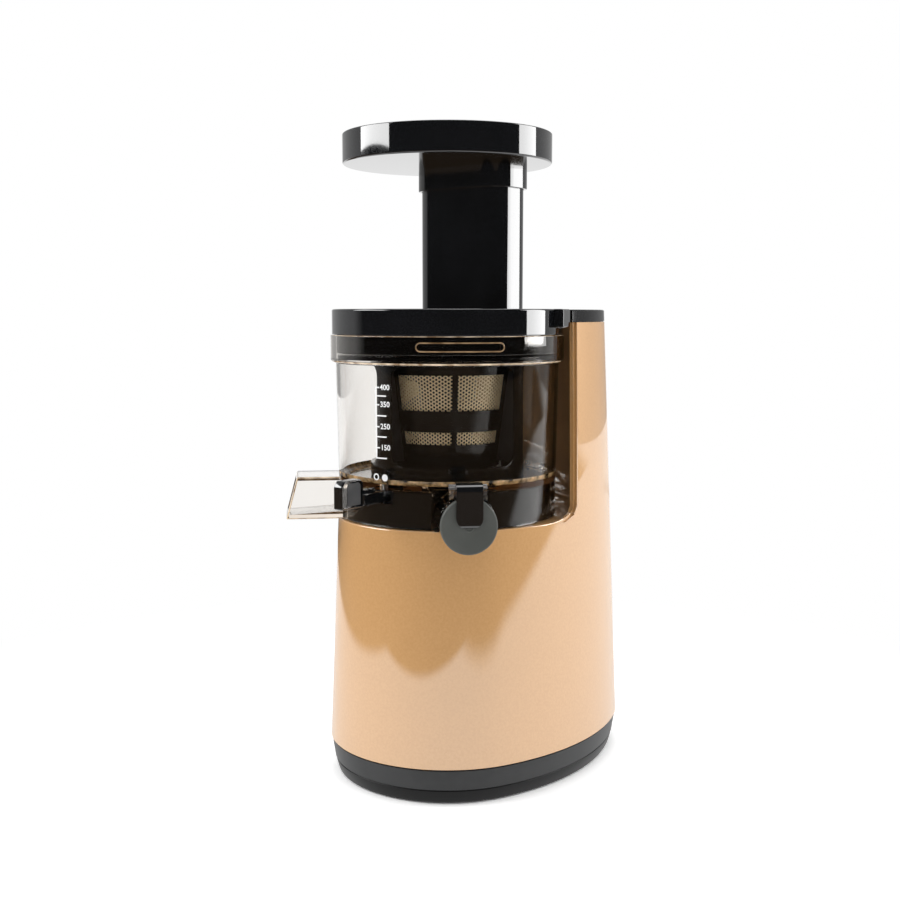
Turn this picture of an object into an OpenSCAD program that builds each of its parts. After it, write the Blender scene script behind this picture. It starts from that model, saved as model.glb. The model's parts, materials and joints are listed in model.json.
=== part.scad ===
// Cold press juicer: motor base with a column, clear juicing bowl, lid with feed tube, and tray.
// The origin is on the bowl axis at the floor. +Z is up, -Y is the front, the column stands at +Y.

/* [Body] */
// Radius of the front and back of the body, at the foot of the shell
end_r = 76; // [72:0.5:82]
// Distance from the bowl axis to the axis of the rounded back
arc_gap = 66.6; // [55:0.1:80]
// How far each side of the body bulges out beyond the radius of its ends
side_bulge = 7; // [5:0.5:12]
// Draft of the shell, in degrees
draft = 2.4; // [1:0.1:3]
// Wall thickness of the shell
shell_t = 3; // [2:0.1:4]
// Height of the joint between base skirt and shell
joint_z = 23; // [18:1:32]
// Height of the shell from that joint to the deck
shell_h = 143.3; // [138:0.1:170]
// Height of the column above the deck
column_h = 122.7; // [118:0.1:130]
// Height of the column cap
column_cap_h = 8; // [5:0.5:12]
// Gap between the flange ring of the bowl and the hollow front of the column, at the deck
recess_gap = 8.2; // [7:0.1:12]
// Draft of the hollow front of the column, in degrees
recess_draft = 1.2; // [0.5:0.1:2]
// Radius of the fillet between the deck and the column
recess_fillet = 9; // [3:0.5:11]

/* [Base] */
// Height of the rubber feet
foot_h = 3; // [2:0.5:6]
// Height of the lower edge of the base skirt
skirt_z = 2; // [1:0.5:2.5]
// How far the base skirt tucks in at its lower edge
skirt_tuck = 5; // [2:0.5:8]
// Width of the shadow line between skirt and shell
joint_line = 0.6; // [0.3:0.1:1.5]
// Height of the rib of the skirt that centres the shell
skirt_rib_h = 7; // [4:0.5:12]
// Thickness of the bottom plate
plate_t = 3; // [2:0.5:5]
// Distance from the front of the body in to the middle line of the curved front foot
front_foot_in = 16; // [14:1:22]
// Width of the curved front foot
front_foot_w = 9; // [6:0.5:12]
// Angle that the front foot covers, in degrees
front_foot_arc = 200; // [190:5:230]
// Distance of the front screws of the base behind the front foot's middle line
front_screw_in = 40; // [38:1:44]
// Radius of each rear foot
rear_foot_r = 8; // [6:0.5:10]
// Distance from the back of the body in to the rear feet
rear_foot_in = 32; // [28:1:40]
// Distance between the two rear feet
rear_foot_gap = 70; // [50:1:80]
// Number of cooling slots in each half of the bottom plate
vent_n = 5; // [3:1:7]
// Width of a cooling slot
vent_w = 3; // [2:0.5:4]

/* [Bowl] */
// Gap between the deck and the lower edge of the bowl
bowl_gap = 0.7; // [0.4:0.1:2]
// Height of the skirt under the bowl floor
bowl_skirt_h = 22.5; // [21.5:0.1:26]
// Thickness of the bowl floor
floor_t = 3; // [2:0.1:4]
// Outer radius of the bowl at its lower edge
bowl_r = 69; // [68:0.1:69.2]
// How much the bowl widens from its lower edge to the flange
bowl_flare = 1.8; // [0.5:0.1:2.5]
// Wall thickness of the bowl
bowl_t = 2.2; // [1.8:0.1:2.4]
// Height of the wall from the floor to the flange
bowl_wall_h = 72.1; // [70:0.1:80]
// Height of the flange ring
flange_h = 16.7; // [14:0.1:20]
// How far the flange ring stands out from the wall
flange_step = 3.2; // [2.8:0.1:5]
// Wall thickness of the flange ring
flange_t = 3.4; // [2.5:0.1:3.6]
// Height of the ledge in the flange ring that carries the strainer
ledge_h = 2; // [1.5:0.1:4]

/* [Bowl outlets] */
// Azimuth of each outlet from the front, in degrees
outlet_az = 45; // [42:1:50]
// Width of the pulp chute
chute_w = 33; // [28:0.5:34]
// Wall thickness of the chute and the spout
outlet_t = 2.5; // [2:0.1:3]
// How far the lower edge of the mouth of the chute stands out from the bowl
chute_out = 34; // [22:1:40]
// How far the mouth of the chute leans back at the top
chute_lean = 7; // [0:0.5:12]
// Distance from the bowl axis to the pulp outlet
pulp_hole_off = 26; // [25.5:0.5:26.5]
// Radius of the pulp outlet
pulp_hole_r = 5.5; // [4:0.5:5.5]
// Outer radius of the juice spout
spout_r = 16.5; // [15:0.5:17]
// How far the mouth of the juice spout stands out from the bowl
spout_out = 29; // [22:1:35]
// Height of the axis of the juice spout above the deck
spout_rise = 10.2; // [9.5:0.1:11]
// Radius of the juice outlet in the floor
juice_hole_r = 6; // [4:0.5:7]
// Distance from the outside of the bowl in to the juice outlet
juice_hole_in = 10.5; // [9.5:0.5:11.5]

/* [Juice cap] */
// Radius of the disc of the juice cap
cap_r = 15.8; // [14:0.1:17]
// Thickness of the disc of the juice cap
cap_t = 5; // [3:0.5:7]
// Width of the arm of the juice cap
cap_arm_w = 15; // [10:0.5:18]
// Thickness of the sealing pad
cap_pad_t = 2.5; // [1.5:0.5:4]
// Radius of the hinge pin of the juice cap
cap_pin_r = 1.5; // [1:0.1:2]
// Height of the hinge pin above the top of the spout
cap_pin_rise = 4; // [3.6:0.1:6]
// Radius of the hinge barrel of the juice cap
cap_barrel_r = 3; // [2.6:0.1:3.4]

/* [Control lever] */
// Distance from the outside of the bowl in to the pivot of the lever
lever_pivot_in = 12; // [11:0.5:13]
// Radius of the pivot pin of the lever
lever_pin_r = 2; // [1.5:0.1:2.5]
// Radius of the hub of the lever
lever_hub_r = 5.5; // [4.5:0.1:6]
// Width of the arm of the lever
lever_arm_w = 8; // [6:0.5:10]
// Thickness of the arm of the lever
lever_arm_t = 7; // [5:0.5:8]
// Distance from the outside of the bowl to the near end of the grip
grip_out = 15; // [9:1:20]
// Length of the grip
grip_l = 19; // [12:1:26]
// Height of the grip
grip_h = 16.8; // [12:0.1:20]
// Width of the grip
grip_w = 6.6; // [5:0.1:10]
// How far the grip reaches below the arm of the lever
grip_drop = 0.6; // [0:0.1:2]
// Radius of the pulp gate
gate_r = 7.5; // [6.5:0.1:8]
// Thickness of the gate, and of the plate that carries it
gate_t = 2; // [1.5:0.1:2.2]

/* [Brush and strainer] */
// Outer radius of the spinning brush
brush_r = 49; // [48.5:0.1:50]
// Wall thickness of the spinning brush
brush_t = 2.4; // [1.8:0.1:2.6]
// Height of the window in the spinning brush
brush_window_h = 62; // [50:1:64]
// Angle that each window of the brush covers, in degrees
brush_window_arc = 100; // [80:1:104]
// Number of windows in the brush
brush_window_n = 3; // [2:1:3]
// Thickness of the silicone wipers
wiper_t = 1.6; // [1:0.1:2.5]
// Outer radius of the strainer at the top of the upper mesh
strainer_top_r = 41; // [40:0.1:41.5]
// Outer radius of the strainer at its foot
strainer_foot_r = 33; // [31:0.1:35]
// Wall thickness of the strainer frame
strainer_t = 2; // [1.5:0.1:2.5]
// Number of ribs in the strainer
strainer_rib_n = 6; // [4:1:8]
// Width of a rib of the strainer
strainer_rib_w = 3.4; // [2:0.1:5]
// Height of the upper mesh band
mesh_high_h = 22; // [15:0.5:24]
// Height of the lower mesh band
mesh_low_h = 8; // [5:0.5:12]
// Height of the plain band between the two meshes
mesh_gap_h = 13; // [10:0.5:16]
// Thickness of the perforated steel
mesh_t = 0.4; // [0.3:0.05:0.6]
// Height of the closed foot of the strainer
strainer_foot_h = 15.3; // [12:0.1:16]

/* [Auger] */
// Radius of the core of the auger at its foot
auger_core_r = 15; // [12:0.5:18]
// Number of flights
auger_flight_n = 2; // [1:1:3]
// Thickness of a flight
auger_flight_t = 5; // [3:0.5:7]
// Turn of a flight over the height of the auger, in degrees
auger_twist = 300; // [180:10:420]
// Radius of the journal that passes through the bowl floor
journal_r = 8.3; // [8:0.1:8.4]
// Radius of the pin at the top of the auger
auger_pin_r = 3.5; // [3:0.1:4]

/* [Lid and tray] */
// How far the rim of the lid stands back from the flange ring
lid_inset = 0.8; // [0:0.1:2]
// Height of the rim of the lid
lid_h = 15.8; // [12:0.1:20]
// Wall thickness of the lid
lid_t = 3; // [2:0.1:4]
// Height of the skirt under the lid
lid_skirt_h = 11.5; // [8:0.1:12]
// Width of the feed tube, across the machine
tube_w = 68; // [60:0.5:72]
// Depth of the feed tube, front to back
tube_d = 35.5; // [30:0.5:42]
// Corner radius of the feed tube
tube_corner = 13; // [8:0.5:14]
// Distance from the bowl axis back to the axis of the feed tube
tube_y = 26; // [25:0.5:30]
// Wall thickness of the feed tube
tube_t = 2.6; // [2:0.1:3.5]
// Height of the feed tube above the lid
tube_h = 89.4; // [70:0.1:110]
// Radius of the tray
tray_r = 65.6; // [60:0.1:72]
// Height of the tray
tray_h = 18.3; // [14:0.1:26]
// Wall thickness of the tray
tray_t = 2.6; // [2:0.1:3.5]
// Height of the collar under the tray
collar_h = 14; // [10:0.5:20]
// Wall thickness of the collar
collar_t = 2; // [1.5:0.1:3]
// Width of the lock ear of the lid
ear_w = 16; // [12:0.5:20]
// Azimuth of the lock ear from the front, in degrees
ear_az = 107; // [98:1:109]
// Radius of the magnet in the rim of the lid
magnet_r = 3; // [2:0.1:3.5]
// Thickness of the magnet
magnet_t = 2; // [1:0.1:3]

/* [Drive] */
// Teeth of each small gear of the two reduction stages
pinion_teeth = 12; // [12:1:14]
// Teeth of each large gear of the two reduction stages
wheel_teeth = 72; // [64:1:74]
// Tooth module of the first stage
module_a = 0.8; // [0.7:0.05:0.85]
// Tooth module of the second stage
module_b = 1.25; // [1.2:0.05:1.3]
// Tooth module of the brush drive in the bowl floor
module_c = 1.25; // [1.25:0.05:1.25]
// Teeth of the gear under the auger
sun_teeth = 16; // [16:2:16]
// Teeth of the ring inside the foot of the brush
ring_teeth = 72; // [72:4:72]
// Pressure angle of all gears, in degrees
pressure_angle = 25; // [20:1:28]
// Backlash of all gears
backlash = 0.35; // [0.3:0.05:0.5]
// Thickness of the gears of the first stage
face_a = 8; // [6:0.5:10]
// Thickness of the output gear
face_b = 13; // [10:0.5:16]
// Thickness of the gears in the bowl floor
face_c = 5; // [4:0.5:6]
// Radius of the drive shaft
drive_r = 6; // [5:0.1:6.5]
// Width across the flats of the hexagon of the drive shaft
hex_af = 10; // [8:0.1:10.5]
// Height of the hexagon above the bowl floor
hex_rise = 20; // [12:0.5:30]
// Radius of the axle of the intermediate gear
axle_r = 3; // [2:0.1:4]
// Height of the gearbox floor above the floor that the juicer stands on
gearbox_z = 92; // [88:1:96]
// Wall thickness of the gearbox
gearbox_t = 3; // [2:0.1:4]
// Height of the gearbox, from its floor to its cover
gearbox_h = 38; // [36:0.5:42]

/* [Motor] */
// Outer radius of the stator
stator_r = 40; // [34:0.5:44]
// Radius of the rotor
rotor_r = 20; // [14:0.5:24]
// Air gap between stator and rotor
air_gap = 0.5; // [0.3:0.1:1]
// Height of the stator core
stator_h = 32; // [24:0.5:36]
// Height of the winding ends above and below the core
winding_h = 8; // [5:0.5:9]
// Radius of the motor shaft
motor_shaft_r = 2.8; // [2:0.1:3]
// Thickness of the end frames
frame_t = 5; // [3:0.5:6]
// Outer radius of the motor bearings
bearing_r = 8; // [6:0.5:10]
// Radius of the cooling fan
fan_r = 30; // [20:0.5:34]
// Height of the cooling fan
fan_h = 7; // [5:0.5:9]
// Number of blades of the cooling fan
fan_blade_n = 9; // [5:1:13]

/* [Fittings] */
// Width of the rocker switch, front to back
switch_w = 22; // [16:0.5:26]
// Height of the rocker switch
switch_h = 34; // [26:0.5:40]
// Depth of the switch housing inside the shell
switch_depth = 18; // [12:0.5:24]
// Thickness of the frame of the switch outside the shell
switch_rim_t = 1.8; // [1:0.1:3]
// Height of the switch above the joint
switch_rise = 82; // [60:1:110]
// Radius of the hole in the cord bushing
cord_r = 3.6; // [2.5:0.1:5]
// Length of the cord bushing
bushing_l = 11; // [8:0.5:16]
// Height of the cord bushing above the joint
bushing_rise = 20; // [14:1:50]
// Radius of the motor capacitor
capacitor_r = 17; // [10:0.5:18]
// Height of the motor capacitor
capacitor_h = 55; // [30:1:64]
// Distance from the back of the body in to the axis of the motor capacitor
capacitor_in = 44; // [40:1:50]
// Width, thickness and height of the circuit board
board = [62, 1.6, 74];
// Distance from the back of the body in to the circuit board
board_in = 32; // [28:1:36]
// Azimuth of the magnet in the lid and the reed switch in the column, in degrees
reed_az = 150; // [145:1:160]
// Radius of all screw shanks
screw_r = 1.75; // [1.25:0.05:2.25]
// Radius of all screw heads
screw_head_r = 3.4; // [2.6:0.1:3.8]
// Height of all screw heads
screw_head_h = 2.4; // [1.6:0.1:3]

/* [Fits] */
// Radial clearance of a running fit
run_gap = 0.06; // [0.03:0.01:0.1]
// Clearance between pieces that are put together or pass each other
free_gap = 0.4; // [0.3:0.05:0.5]

/* [Hidden] */
$fn = 96;

gold = [0.80, 0.62, 0.46];
black = [0.06, 0.06, 0.07];
dark = [0.16, 0.16, 0.17];
clear = [0.86, 0.80, 0.72, 0.35];
steel = [0.72, 0.72, 0.74];
copper = [0.72, 0.42, 0.20];
silicone = [0.25, 0.25, 0.27];
white = [0.88, 0.88, 0.86];

far = 400;                                                // longer than the juicer, for cutting tools
lap = 1;                                                  // overrun of a cutting tool past a face
deck_z = joint_z + shell_h;                               // top of the deck
column_z = deck_z + column_h;                             // top of the column
cy = arc_gap / 2;                                         // middle of the body, front to back
half_w = end_r + side_bulge;                              // half of the body's width
side_off = (cy * cy - pow(half_w - end_r, 2)) / (2 * (half_w - end_r));
side_add = half_w + side_off - end_r;                     // side radius less end radius

plate_z = foot_h;                                         // underside of the bottom plate
front_foot_r = end_r - front_foot_in;
plate_inset = skirt_tuck + shell_t + free_gap;            // bottom plate inside the skirt's wall
bowl_top_r = bowl_r + bowl_flare;                         // outer radius of the bowl under the flange
flange_r = bowl_top_r + flange_step;
lid_r = flange_r - lid_inset;
recess_r = flange_r + recess_gap;                         // hollow front of the column, at the deck
chute_reach = bowl_r + chute_out;
spout_reach = bowl_r + spout_out;
juice_hole_off = bowl_r - juice_hole_in;
lever_pivot_off = bowl_r - lever_pivot_in;
grip_start = bowl_r + grip_out;
grip_reach = grip_start + grip_l;
bowl_z = deck_z + bowl_gap;
floor_z = bowl_z + bowl_skirt_h;                          // underside of the bowl floor
floor_top = floor_z + floor_t;
flange_z = floor_top + bowl_wall_h;
flange_top = flange_z + flange_h;
ledge_z = flange_z + ledge_h;
lid_z = flange_top + free_gap / 2;
lid_top = lid_z + lid_h;
tray_z = lid_top + tube_h;

seat_r = bowl_r - bowl_t - free_gap * 2;                  // outer radius of the bowl seat
seat_rim_z = floor_z - free_gap * 3;                      // top of the rim of the bowl seat
seat_top = floor_z - 2 * gate_t - 3 * free_gap;           // top of the plate of the bowl seat
neck_r = journal_r + free_gap * 4;                        // bore of the neck of the bowl seat
neck_wall = 3;
seat_screw_off = 40;
seat_screw_az = [100, 180, 260, 10];

sun_r = sun_teeth * module_c / 2;
ring_r = ring_teeth * module_c / 2;
idler_teeth = (ring_teeth - sun_teeth) / 2;
idler_off = (sun_teeth + idler_teeth) * module_c / 2;
idler_az = 180;                                           // the idler stands behind the auger
idler_pin_r = 3;
gear_c_z = floor_top + free_gap;                          // underside of the gears on the bowl floor
gear_c_top = gear_c_z + face_c;
brush_z = gear_c_z;
brush_top = ledge_z - free_gap * 2;
brush_window_z = gear_c_top + 3;

strainer_z = gear_c_top + free_gap * 2;                   // foot of the strainer
mesh_low_z = strainer_z + strainer_foot_h;
mesh_high_z = mesh_low_z + mesh_low_h + mesh_gap_h;
mesh_top_z = mesh_high_z + mesh_high_h;
strainer_floor_t = 2;
strainer_flange_t = 2.2;

auger_z = strainer_z + strainer_floor_t + free_gap;       // foot of the flights
auger_top = mesh_top_z + 3;                               // top of the flights
auger_gap = mesh_t + free_gap * 2;                        // flights inside the strainer's frame
journal_z = floor_z - 7;
pin_top = lid_top - lid_t - free_gap;
insert_wall = 1.2;
hex_top = floor_top + hex_rise;

stage_a = (pinion_teeth + wheel_teeth) * module_a / 2;    // centre distance of the first stage
stage_b = (pinion_teeth + wheel_teeth) * module_b / 2;    // centre distance of the second stage
axle_y = stage_b;                                         // the intermediate axle stands behind
motor_y = stage_b - stage_a;
gear_a_z = gearbox_z + gearbox_t + 6;                     // underside of the first stage
gear_b_z = gear_a_z + face_a + 3;                         // underside of the output gear
gearbox_top = gearbox_z + gearbox_h;
gear_clear = 3.5;                                         // room around the gears inside the gearbox
gearbox_front_r = wheel_teeth * module_b / 2 + module_b + gear_clear + gearbox_t;
gearbox_back_r = wheel_teeth * module_a / 2 + module_a + gear_clear + gearbox_t;
gearbox_ear_r = 6;
gearbox_post_in = 24;                                     // posts in from the end radius, across the body
gearbox_post_back = cy - 3.3;                             // rear pair of posts
gearbox_post_span = 56;                                   // from the rear pair to the front pair
gearbox_post = [for (s = [1, -1], y = [0, -gearbox_post_span]) [s * (end_r - gearbox_post_in), gearbox_post_back + y]];

frame_top_z = gearbox_z;                                  // the upper end frame hangs on the gearbox
winding_top_z = frame_top_z - frame_t - 3;
core_top_z = winding_top_z - winding_h;
core_z = core_top_z - stator_h;
winding_z = core_z - winding_h;
frame_low_z = winding_z - 3 - frame_t;
fan_z = frame_low_z - 3 - fan_h;
bolt_off = stator_r - 4;
bearing_h = frame_t;

switch_z = joint_z + switch_rise;
bushing_z = joint_z + bushing_rise;
bushing_r = cord_r + 3;
board_y = arc_gap + end_r - board_in;
board_z = deck_z + 12;
capacitor_y = arc_gap + end_r - capacitor_in;
chute_z = bowl_z - free_gap / 4;
spout_z = deck_z + spout_rise;
hinge_z = spout_z + spout_r + cap_pin_rise;
hinge_off = spout_reach - 1;
lever_swing = 20;                                         // swing of the lever, in degrees
lever_z = floor_z - free_gap * 2 - lever_arm_t;           // underside of the lever arm
gate_z = floor_z - free_gap * 2 - gate_t;                 // underside of the pulp gate
gate_len = sqrt(pow(pulp_hole_off * sin(outlet_az), 2)
    + pow(lever_pivot_off - pulp_hole_off * cos(outlet_az), 2));
gate_turn = atan2(pulp_hole_off * sin(outlet_az), lever_pivot_off - pulp_hole_off * cos(outlet_az));

// Radius of the ends of the shell at height z
function shell_r(z) = end_r - (z - joint_z) * tan(draft);
// Radius of the hollow front of the column at height z
function column_front_r(z) = recess_r - (z - deck_z) * tan(recess_draft);
// Outer radius of the bowl wall at height z
function bowl_wall_r(z) = bowl_r + (bowl_top_r - bowl_r) * (z - bowl_z) / (flange_z - bowl_z);
// Outer radius of the strainer at height z
function strainer_r(z) = strainer_foot_r
    + (strainer_top_r - strainer_foot_r) * (z - strainer_z) / (mesh_top_z - strainer_z);

// Point turned by the angle a about the origin
function turned(x, y, a) = [x * cos(a) - y * sin(a), x * sin(a) + y * cos(a)];

// Involute angle in degrees at pressure angle a
function involute(a) = tan(a) * 180 / PI - a;
// Half angle of a tooth at radius r, for a gear of n teeth whose teeth are slack mm thinner
function half_tooth(n, m, slack, r) =
    let (rp = n * m / 2, rb = rp * cos(pressure_angle))
    90 / n - slack / 2 / rp * 180 / PI + involute(pressure_angle) - involute(acos(min(1, rb / max(r, rb))));
// Outline of a gear of n teeth from radius r0 to r1, first tooth at angle 0
function gear_outline(n, m, slack, r0, r1, steps = 3) = [
    for (k = [0 : n - 1], side = [-1, 1], i = [0 : steps])
        let (j = side < 0 ? i : steps - i, r = r0 + (r1 - r0) * j / steps,
             a = 360 * k / n + side * half_tooth(n, m, slack, r))
        [r * cos(a), r * sin(a)]
];

// Involute gear with its teeth facing outwards
module gear(n, m, h, turn) {
    addendum = 0.8;
    dedendum = 1.1;
    rp = n * m / 2;
    rotate(turn) linear_extrude(h)
        polygon(gear_outline(n, m, backlash / 2, rp - dedendum * m, rp + addendum * m));
}

// Tool that cuts the tooth spaces of an internal gear
module ring_gear_tool(n, m, h, turn) {
    addendum = 0.8;
    dedendum = 1.1;
    rp = n * m / 2;
    rotate(turn) linear_extrude(h)
        polygon(gear_outline(n, m, -backlash / 2, rp - addendum * m, rp + dedendum * m));
}

// Block that spans the body across X, with the given outline in Y and Z
module cross_block(outline) {
    rotate([90, 0, 90]) linear_extrude(far, center = true) polygon(outline);
}

// Solid with the oval plan of the body: two end arcs and two side arcs, tangent to each other.
// r0 and r1 are the end radii at the heights z0 and z1.
module oval_solid(z0, z1, r0, r1) {
    h = z1 - z0;
    k = cy / side_add;
    intersection() {
        translate([0, 0, z0]) cylinder(h = h, r1 = r0, r2 = r1);
        cross_block([[-far, z0], [-k * r0, z0], [-k * r1, z1], [-far, z1]]);
    }
    intersection() {
        translate([0, arc_gap, z0]) cylinder(h = h, r1 = r0, r2 = r1);
        cross_block([[arc_gap + k * r0, z0], [far, z0], [far, z1], [arc_gap + k * r1, z1]]);
    }
    intersection() {
        translate([-side_off, cy, z0]) cylinder(h = h, r1 = r0 + side_add, r2 = r1 + side_add, $fn = 180);
        translate([side_off, cy, z0]) cylinder(h = h, r1 = r0 + side_add, r2 = r1 + side_add, $fn = 180);
        cross_block([[-k * r0, z0], [arc_gap + k * r0, z0], [arc_gap + k * r1, z1], [-k * r1, z1]]);
    }
}

// The space of the shell between two heights, moved inwards by inset
module shell_space(z0, z1, inset) {
    oval_solid(z0, z1, shell_r(z0) - inset, shell_r(z1) - inset);
}

// Space of the bowl recess above the deck, larger by t all round
module recess(t) {
    low = deck_z - t;
    high = column_z + far / 2;
    f = recess_fillet + t;
    r_low = recess_r + t;
    rotate_extrude() difference() {
        polygon([[0, low], [r_low, low], [column_front_r(high) + t, high], [0, high]]);
        difference() {
            translate([r_low - f, low - lap]) square([f + lap, f + lap]);
            translate([r_low - f, low + f]) circle(f);
        }
    }
}

// Round post or hole at a polar place; az is measured from the front towards +X
module at_az(az, r, z = 0) {
    translate([r * sin(az), -r * cos(az), z]) children();
}

// Turns +X to the azimuth az, so that a piece drawn along +X points away from the bowl axis
module face_az(az) {
    rotate(az - 90) children();
}

// Countersunk-free pan head screw, head down, its shank pointing up
module screw(shank) {
    cylinder(h = screw_head_h, r = screw_head_r);
    translate([0, 0, screw_head_h - 0.01]) cylinder(h = shank + 0.01, r = screw_r);
}

// Rectangle with round corners, centred
module round_rect(w, d, r) {
    square([w - 2 * r, d], center = true);
    square([w, d - 2 * r], center = true);
    for (x = [-1, 1], y = [-1, 1]) translate([x * (w / 2 - r), y * (d / 2 - r)]) circle(r, $fn = 48);
}

// Ring between two radii
module ring(h, r_out, r_in) {
    difference() {
        cylinder(h = h, r = r_out);
        translate([0, 0, -lap]) cylinder(h = h + 2 * lap, r = r_in);
    }
}

// Sector of a ring, centred on azimuth az
module sector(z0, z1, r_in, r_out, az, arc) {
    rotate(az - 90 - arc / 2) rotate_extrude(angle = arc)
        translate([r_in, z0]) square([r_out - r_in, z1 - z0]);
}

// ---- Body ----

rear_screw_side = 28;
front_screw_side = 30;
bottom_screw_at = [for (s = [1, -1], rear = [0, 1])
    rear ? [s * (end_r - rear_screw_side), arc_gap + end_r / 3]
         : [s * (end_r - front_screw_side), front_screw_in - front_foot_r]];

// Rib on the back wall of the column that carries the circuit board
module board_rib(s) {
    rib_t = 3;
    intersection() {
        translate([s * (board[0] / 2 - 7) - rib_t / 2, board_y + board[1], board_z])
            cube([rib_t, far, board[2]]);
        shell_space(board_z, board_z + board[2], shell_t / 2);
    }
}

module housing() {
    color(gold) {
        difference() {
            shell_space(joint_z, column_z, 0);
            recess(0);
            difference() {
                shell_space(joint_z - lap, column_z + lap, shell_t);
                recess(shell_t);
            }
            translate([0, 0, deck_z - shell_t - lap])
                cylinder(h = shell_t + 2 * lap, r = neck_r + neck_wall + free_gap);
            for (az = seat_screw_az) at_az(az, seat_screw_off, deck_z - shell_t - lap)
                cylinder(h = shell_t + 2 * lap, r = screw_r + free_gap);
            switch_place() translate([0, 0, -switch_depth / 2])
                cube([switch_w + free_gap, switch_h + free_gap, 2 * switch_depth], center = true);
            bushing_place() cylinder(h = 3 * bushing_l, r = bushing_r + free_gap, center = true);
        }
        for (p = gearbox_post) translate([p[0], p[1], gearbox_top]) difference() {
            cylinder(h = deck_z - shell_t - gearbox_top + lap, r = gearbox_ear_r - 1);
            translate([0, 0, -lap]) cylinder(h = 14 + lap, r = screw_r + run_gap);
        }
        for (s = [-1, 1]) board_rib(s);
    }
}

module column_cap() {
    plug_h = 6;
    color(black) {
        difference() {
            shell_space(column_z, column_z + column_cap_h, 0);
            recess(0);
        }
        difference() {
            shell_space(column_z - plug_h, column_z + lap, shell_t + free_gap);
            recess(shell_t + free_gap);
            difference() {
                shell_space(column_z - plug_h - lap, column_z, 2 * shell_t + free_gap);
                recess(2 * shell_t + free_gap);
            }
        }
    }
}

module base_skirt() {
    top_r = shell_r(joint_z) - joint_line;
    low_r = top_r - skirt_tuck;
    rib_r = shell_r(joint_z + skirt_rib_h) - shell_t - free_gap;
    rib_arc = 110;
    wall = shell_t;
    color(dark) {
        difference() {
            oval_solid(skirt_z, joint_z, low_r, top_r);
            oval_solid(skirt_z - lap, joint_z + lap, low_r - wall - skirt_tuck / (joint_z - skirt_z) * lap,
                top_r - wall + skirt_tuck / (joint_z - skirt_z) * lap);
        }
        sector(joint_z - skirt_rib_h, joint_z + skirt_rib_h, rib_r - wall, rib_r, 0, rib_arc);
        translate([0, arc_gap, 0])
            sector(joint_z - skirt_rib_h, joint_z + skirt_rib_h, rib_r - wall, rib_r, 180, rib_arc);
        for (p = bottom_screw_at) translate([p[0], p[1], plate_z + plate_t]) difference() {
            cylinder(h = joint_z - plate_z - plate_t, r = 5);
            translate([0, 0, -lap]) cylinder(h = 12 + lap, r = screw_r + run_gap);
        }
        for (p = bottom_screw_at) boss_web(p);
    }
}

// Web that ties a screw boss to the wall of the skirt
module boss_web(p) {
    web_t = 2.4;
    side = sign(p[0]);
    intersection() {
        translate([side > 0 ? p[0] + 4.5 : p[0] - 4.5 - 40, p[1] - web_t / 2, plate_z + plate_t + lap])
            cube([40, web_t, joint_z - plate_z - plate_t - lap]);
        oval_solid(skirt_z, joint_z, shell_r(joint_z) - joint_line - skirt_tuck - lap,
            shell_r(joint_z) - joint_line - lap);
    }
}

module bottom_plate() {
    r = shell_r(joint_z) - joint_line - plate_inset;
    slot_l = 44;
    color(dark) difference() {
        oval_solid(plate_z, plate_z + plate_t, r, r);
        for (p = bottom_screw_at) translate([p[0], p[1], plate_z - lap]) {
            cylinder(h = plate_t + 2 * lap, r = screw_r + run_gap);
            cylinder(h = lap + 1, r = screw_head_r + run_gap);
        }
        for (i = [0 : vent_n - 1], s = [-1, 1])
            translate([-slot_l / 2, motor_y + s * (6 + i * 2.2 * vent_w) - vent_w / 2, plate_z - lap])
                cube([slot_l, vent_w, plate_t + 2 * lap]);
    }
}

module front_foot() {
    color(silicone) sector(0, foot_h, front_foot_r - front_foot_w / 2, front_foot_r + front_foot_w / 2,
        0, front_foot_arc);
}

module rear_feet() {
    color(silicone) for (s = [-1, 1])
        translate([s * rear_foot_gap / 2, arc_gap + end_r - rear_foot_in, 0])
            cylinder(h = foot_h, r = rear_foot_r);
}

module bottom_screws() {
    color(steel) for (p = bottom_screw_at)
        translate([p[0], p[1], plate_z + 1 - screw_head_h]) screw(plate_t + 10);
}

// ---- Bowl seat on the deck ----

module bowl_seat() {
    wall = 2.5;
    plate = 3;
    chute_notch = chute_w + 4 * free_gap;
    spout_notch = 2 * spout_r + 4 * free_gap;
    color(black) difference() {
        union() {
            translate([0, 0, deck_z]) ring(seat_rim_z - deck_z, seat_r, seat_r - wall);
            translate([0, 0, seat_top - plate]) ring(plate, seat_r - wall / 2, neck_r);
            translate([0, 0, deck_z - shell_t - 2]) ring(seat_top - deck_z + shell_t + 2, neck_r + neck_wall, neck_r);
            for (az = seat_screw_az) at_az(az, seat_screw_off, deck_z)
                cylinder(h = seat_top - plate / 2 - deck_z, r = 4.5);
        }
        face_az(-outlet_az) translate([neck_r + neck_wall + free_gap, -chute_notch / 2, deck_z - lap])
            cube([far, chute_notch, far]);
        face_az(outlet_az) translate([juice_hole_off - juice_hole_r - outlet_t - 2 * free_gap,
            -spout_notch / 2, deck_z - lap]) cube([far, spout_notch, far]);
        lever_room();
        for (az = seat_screw_az) at_az(az, seat_screw_off, deck_z - lap)
            cylinder(h = 12 + lap, r = screw_r + run_gap);
    }
}

// Room in the seat for the hub and the arm of the lever, over its whole swing
module lever_room() {
    low = lever_z - free_gap * 2;
    at_az(0, lever_pivot_off, low) cylinder(h = far, r = lever_hub_r + free_gap * 2);
    translate([0, -lever_pivot_off, low]) lever_sweep(0, far);
}

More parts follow.
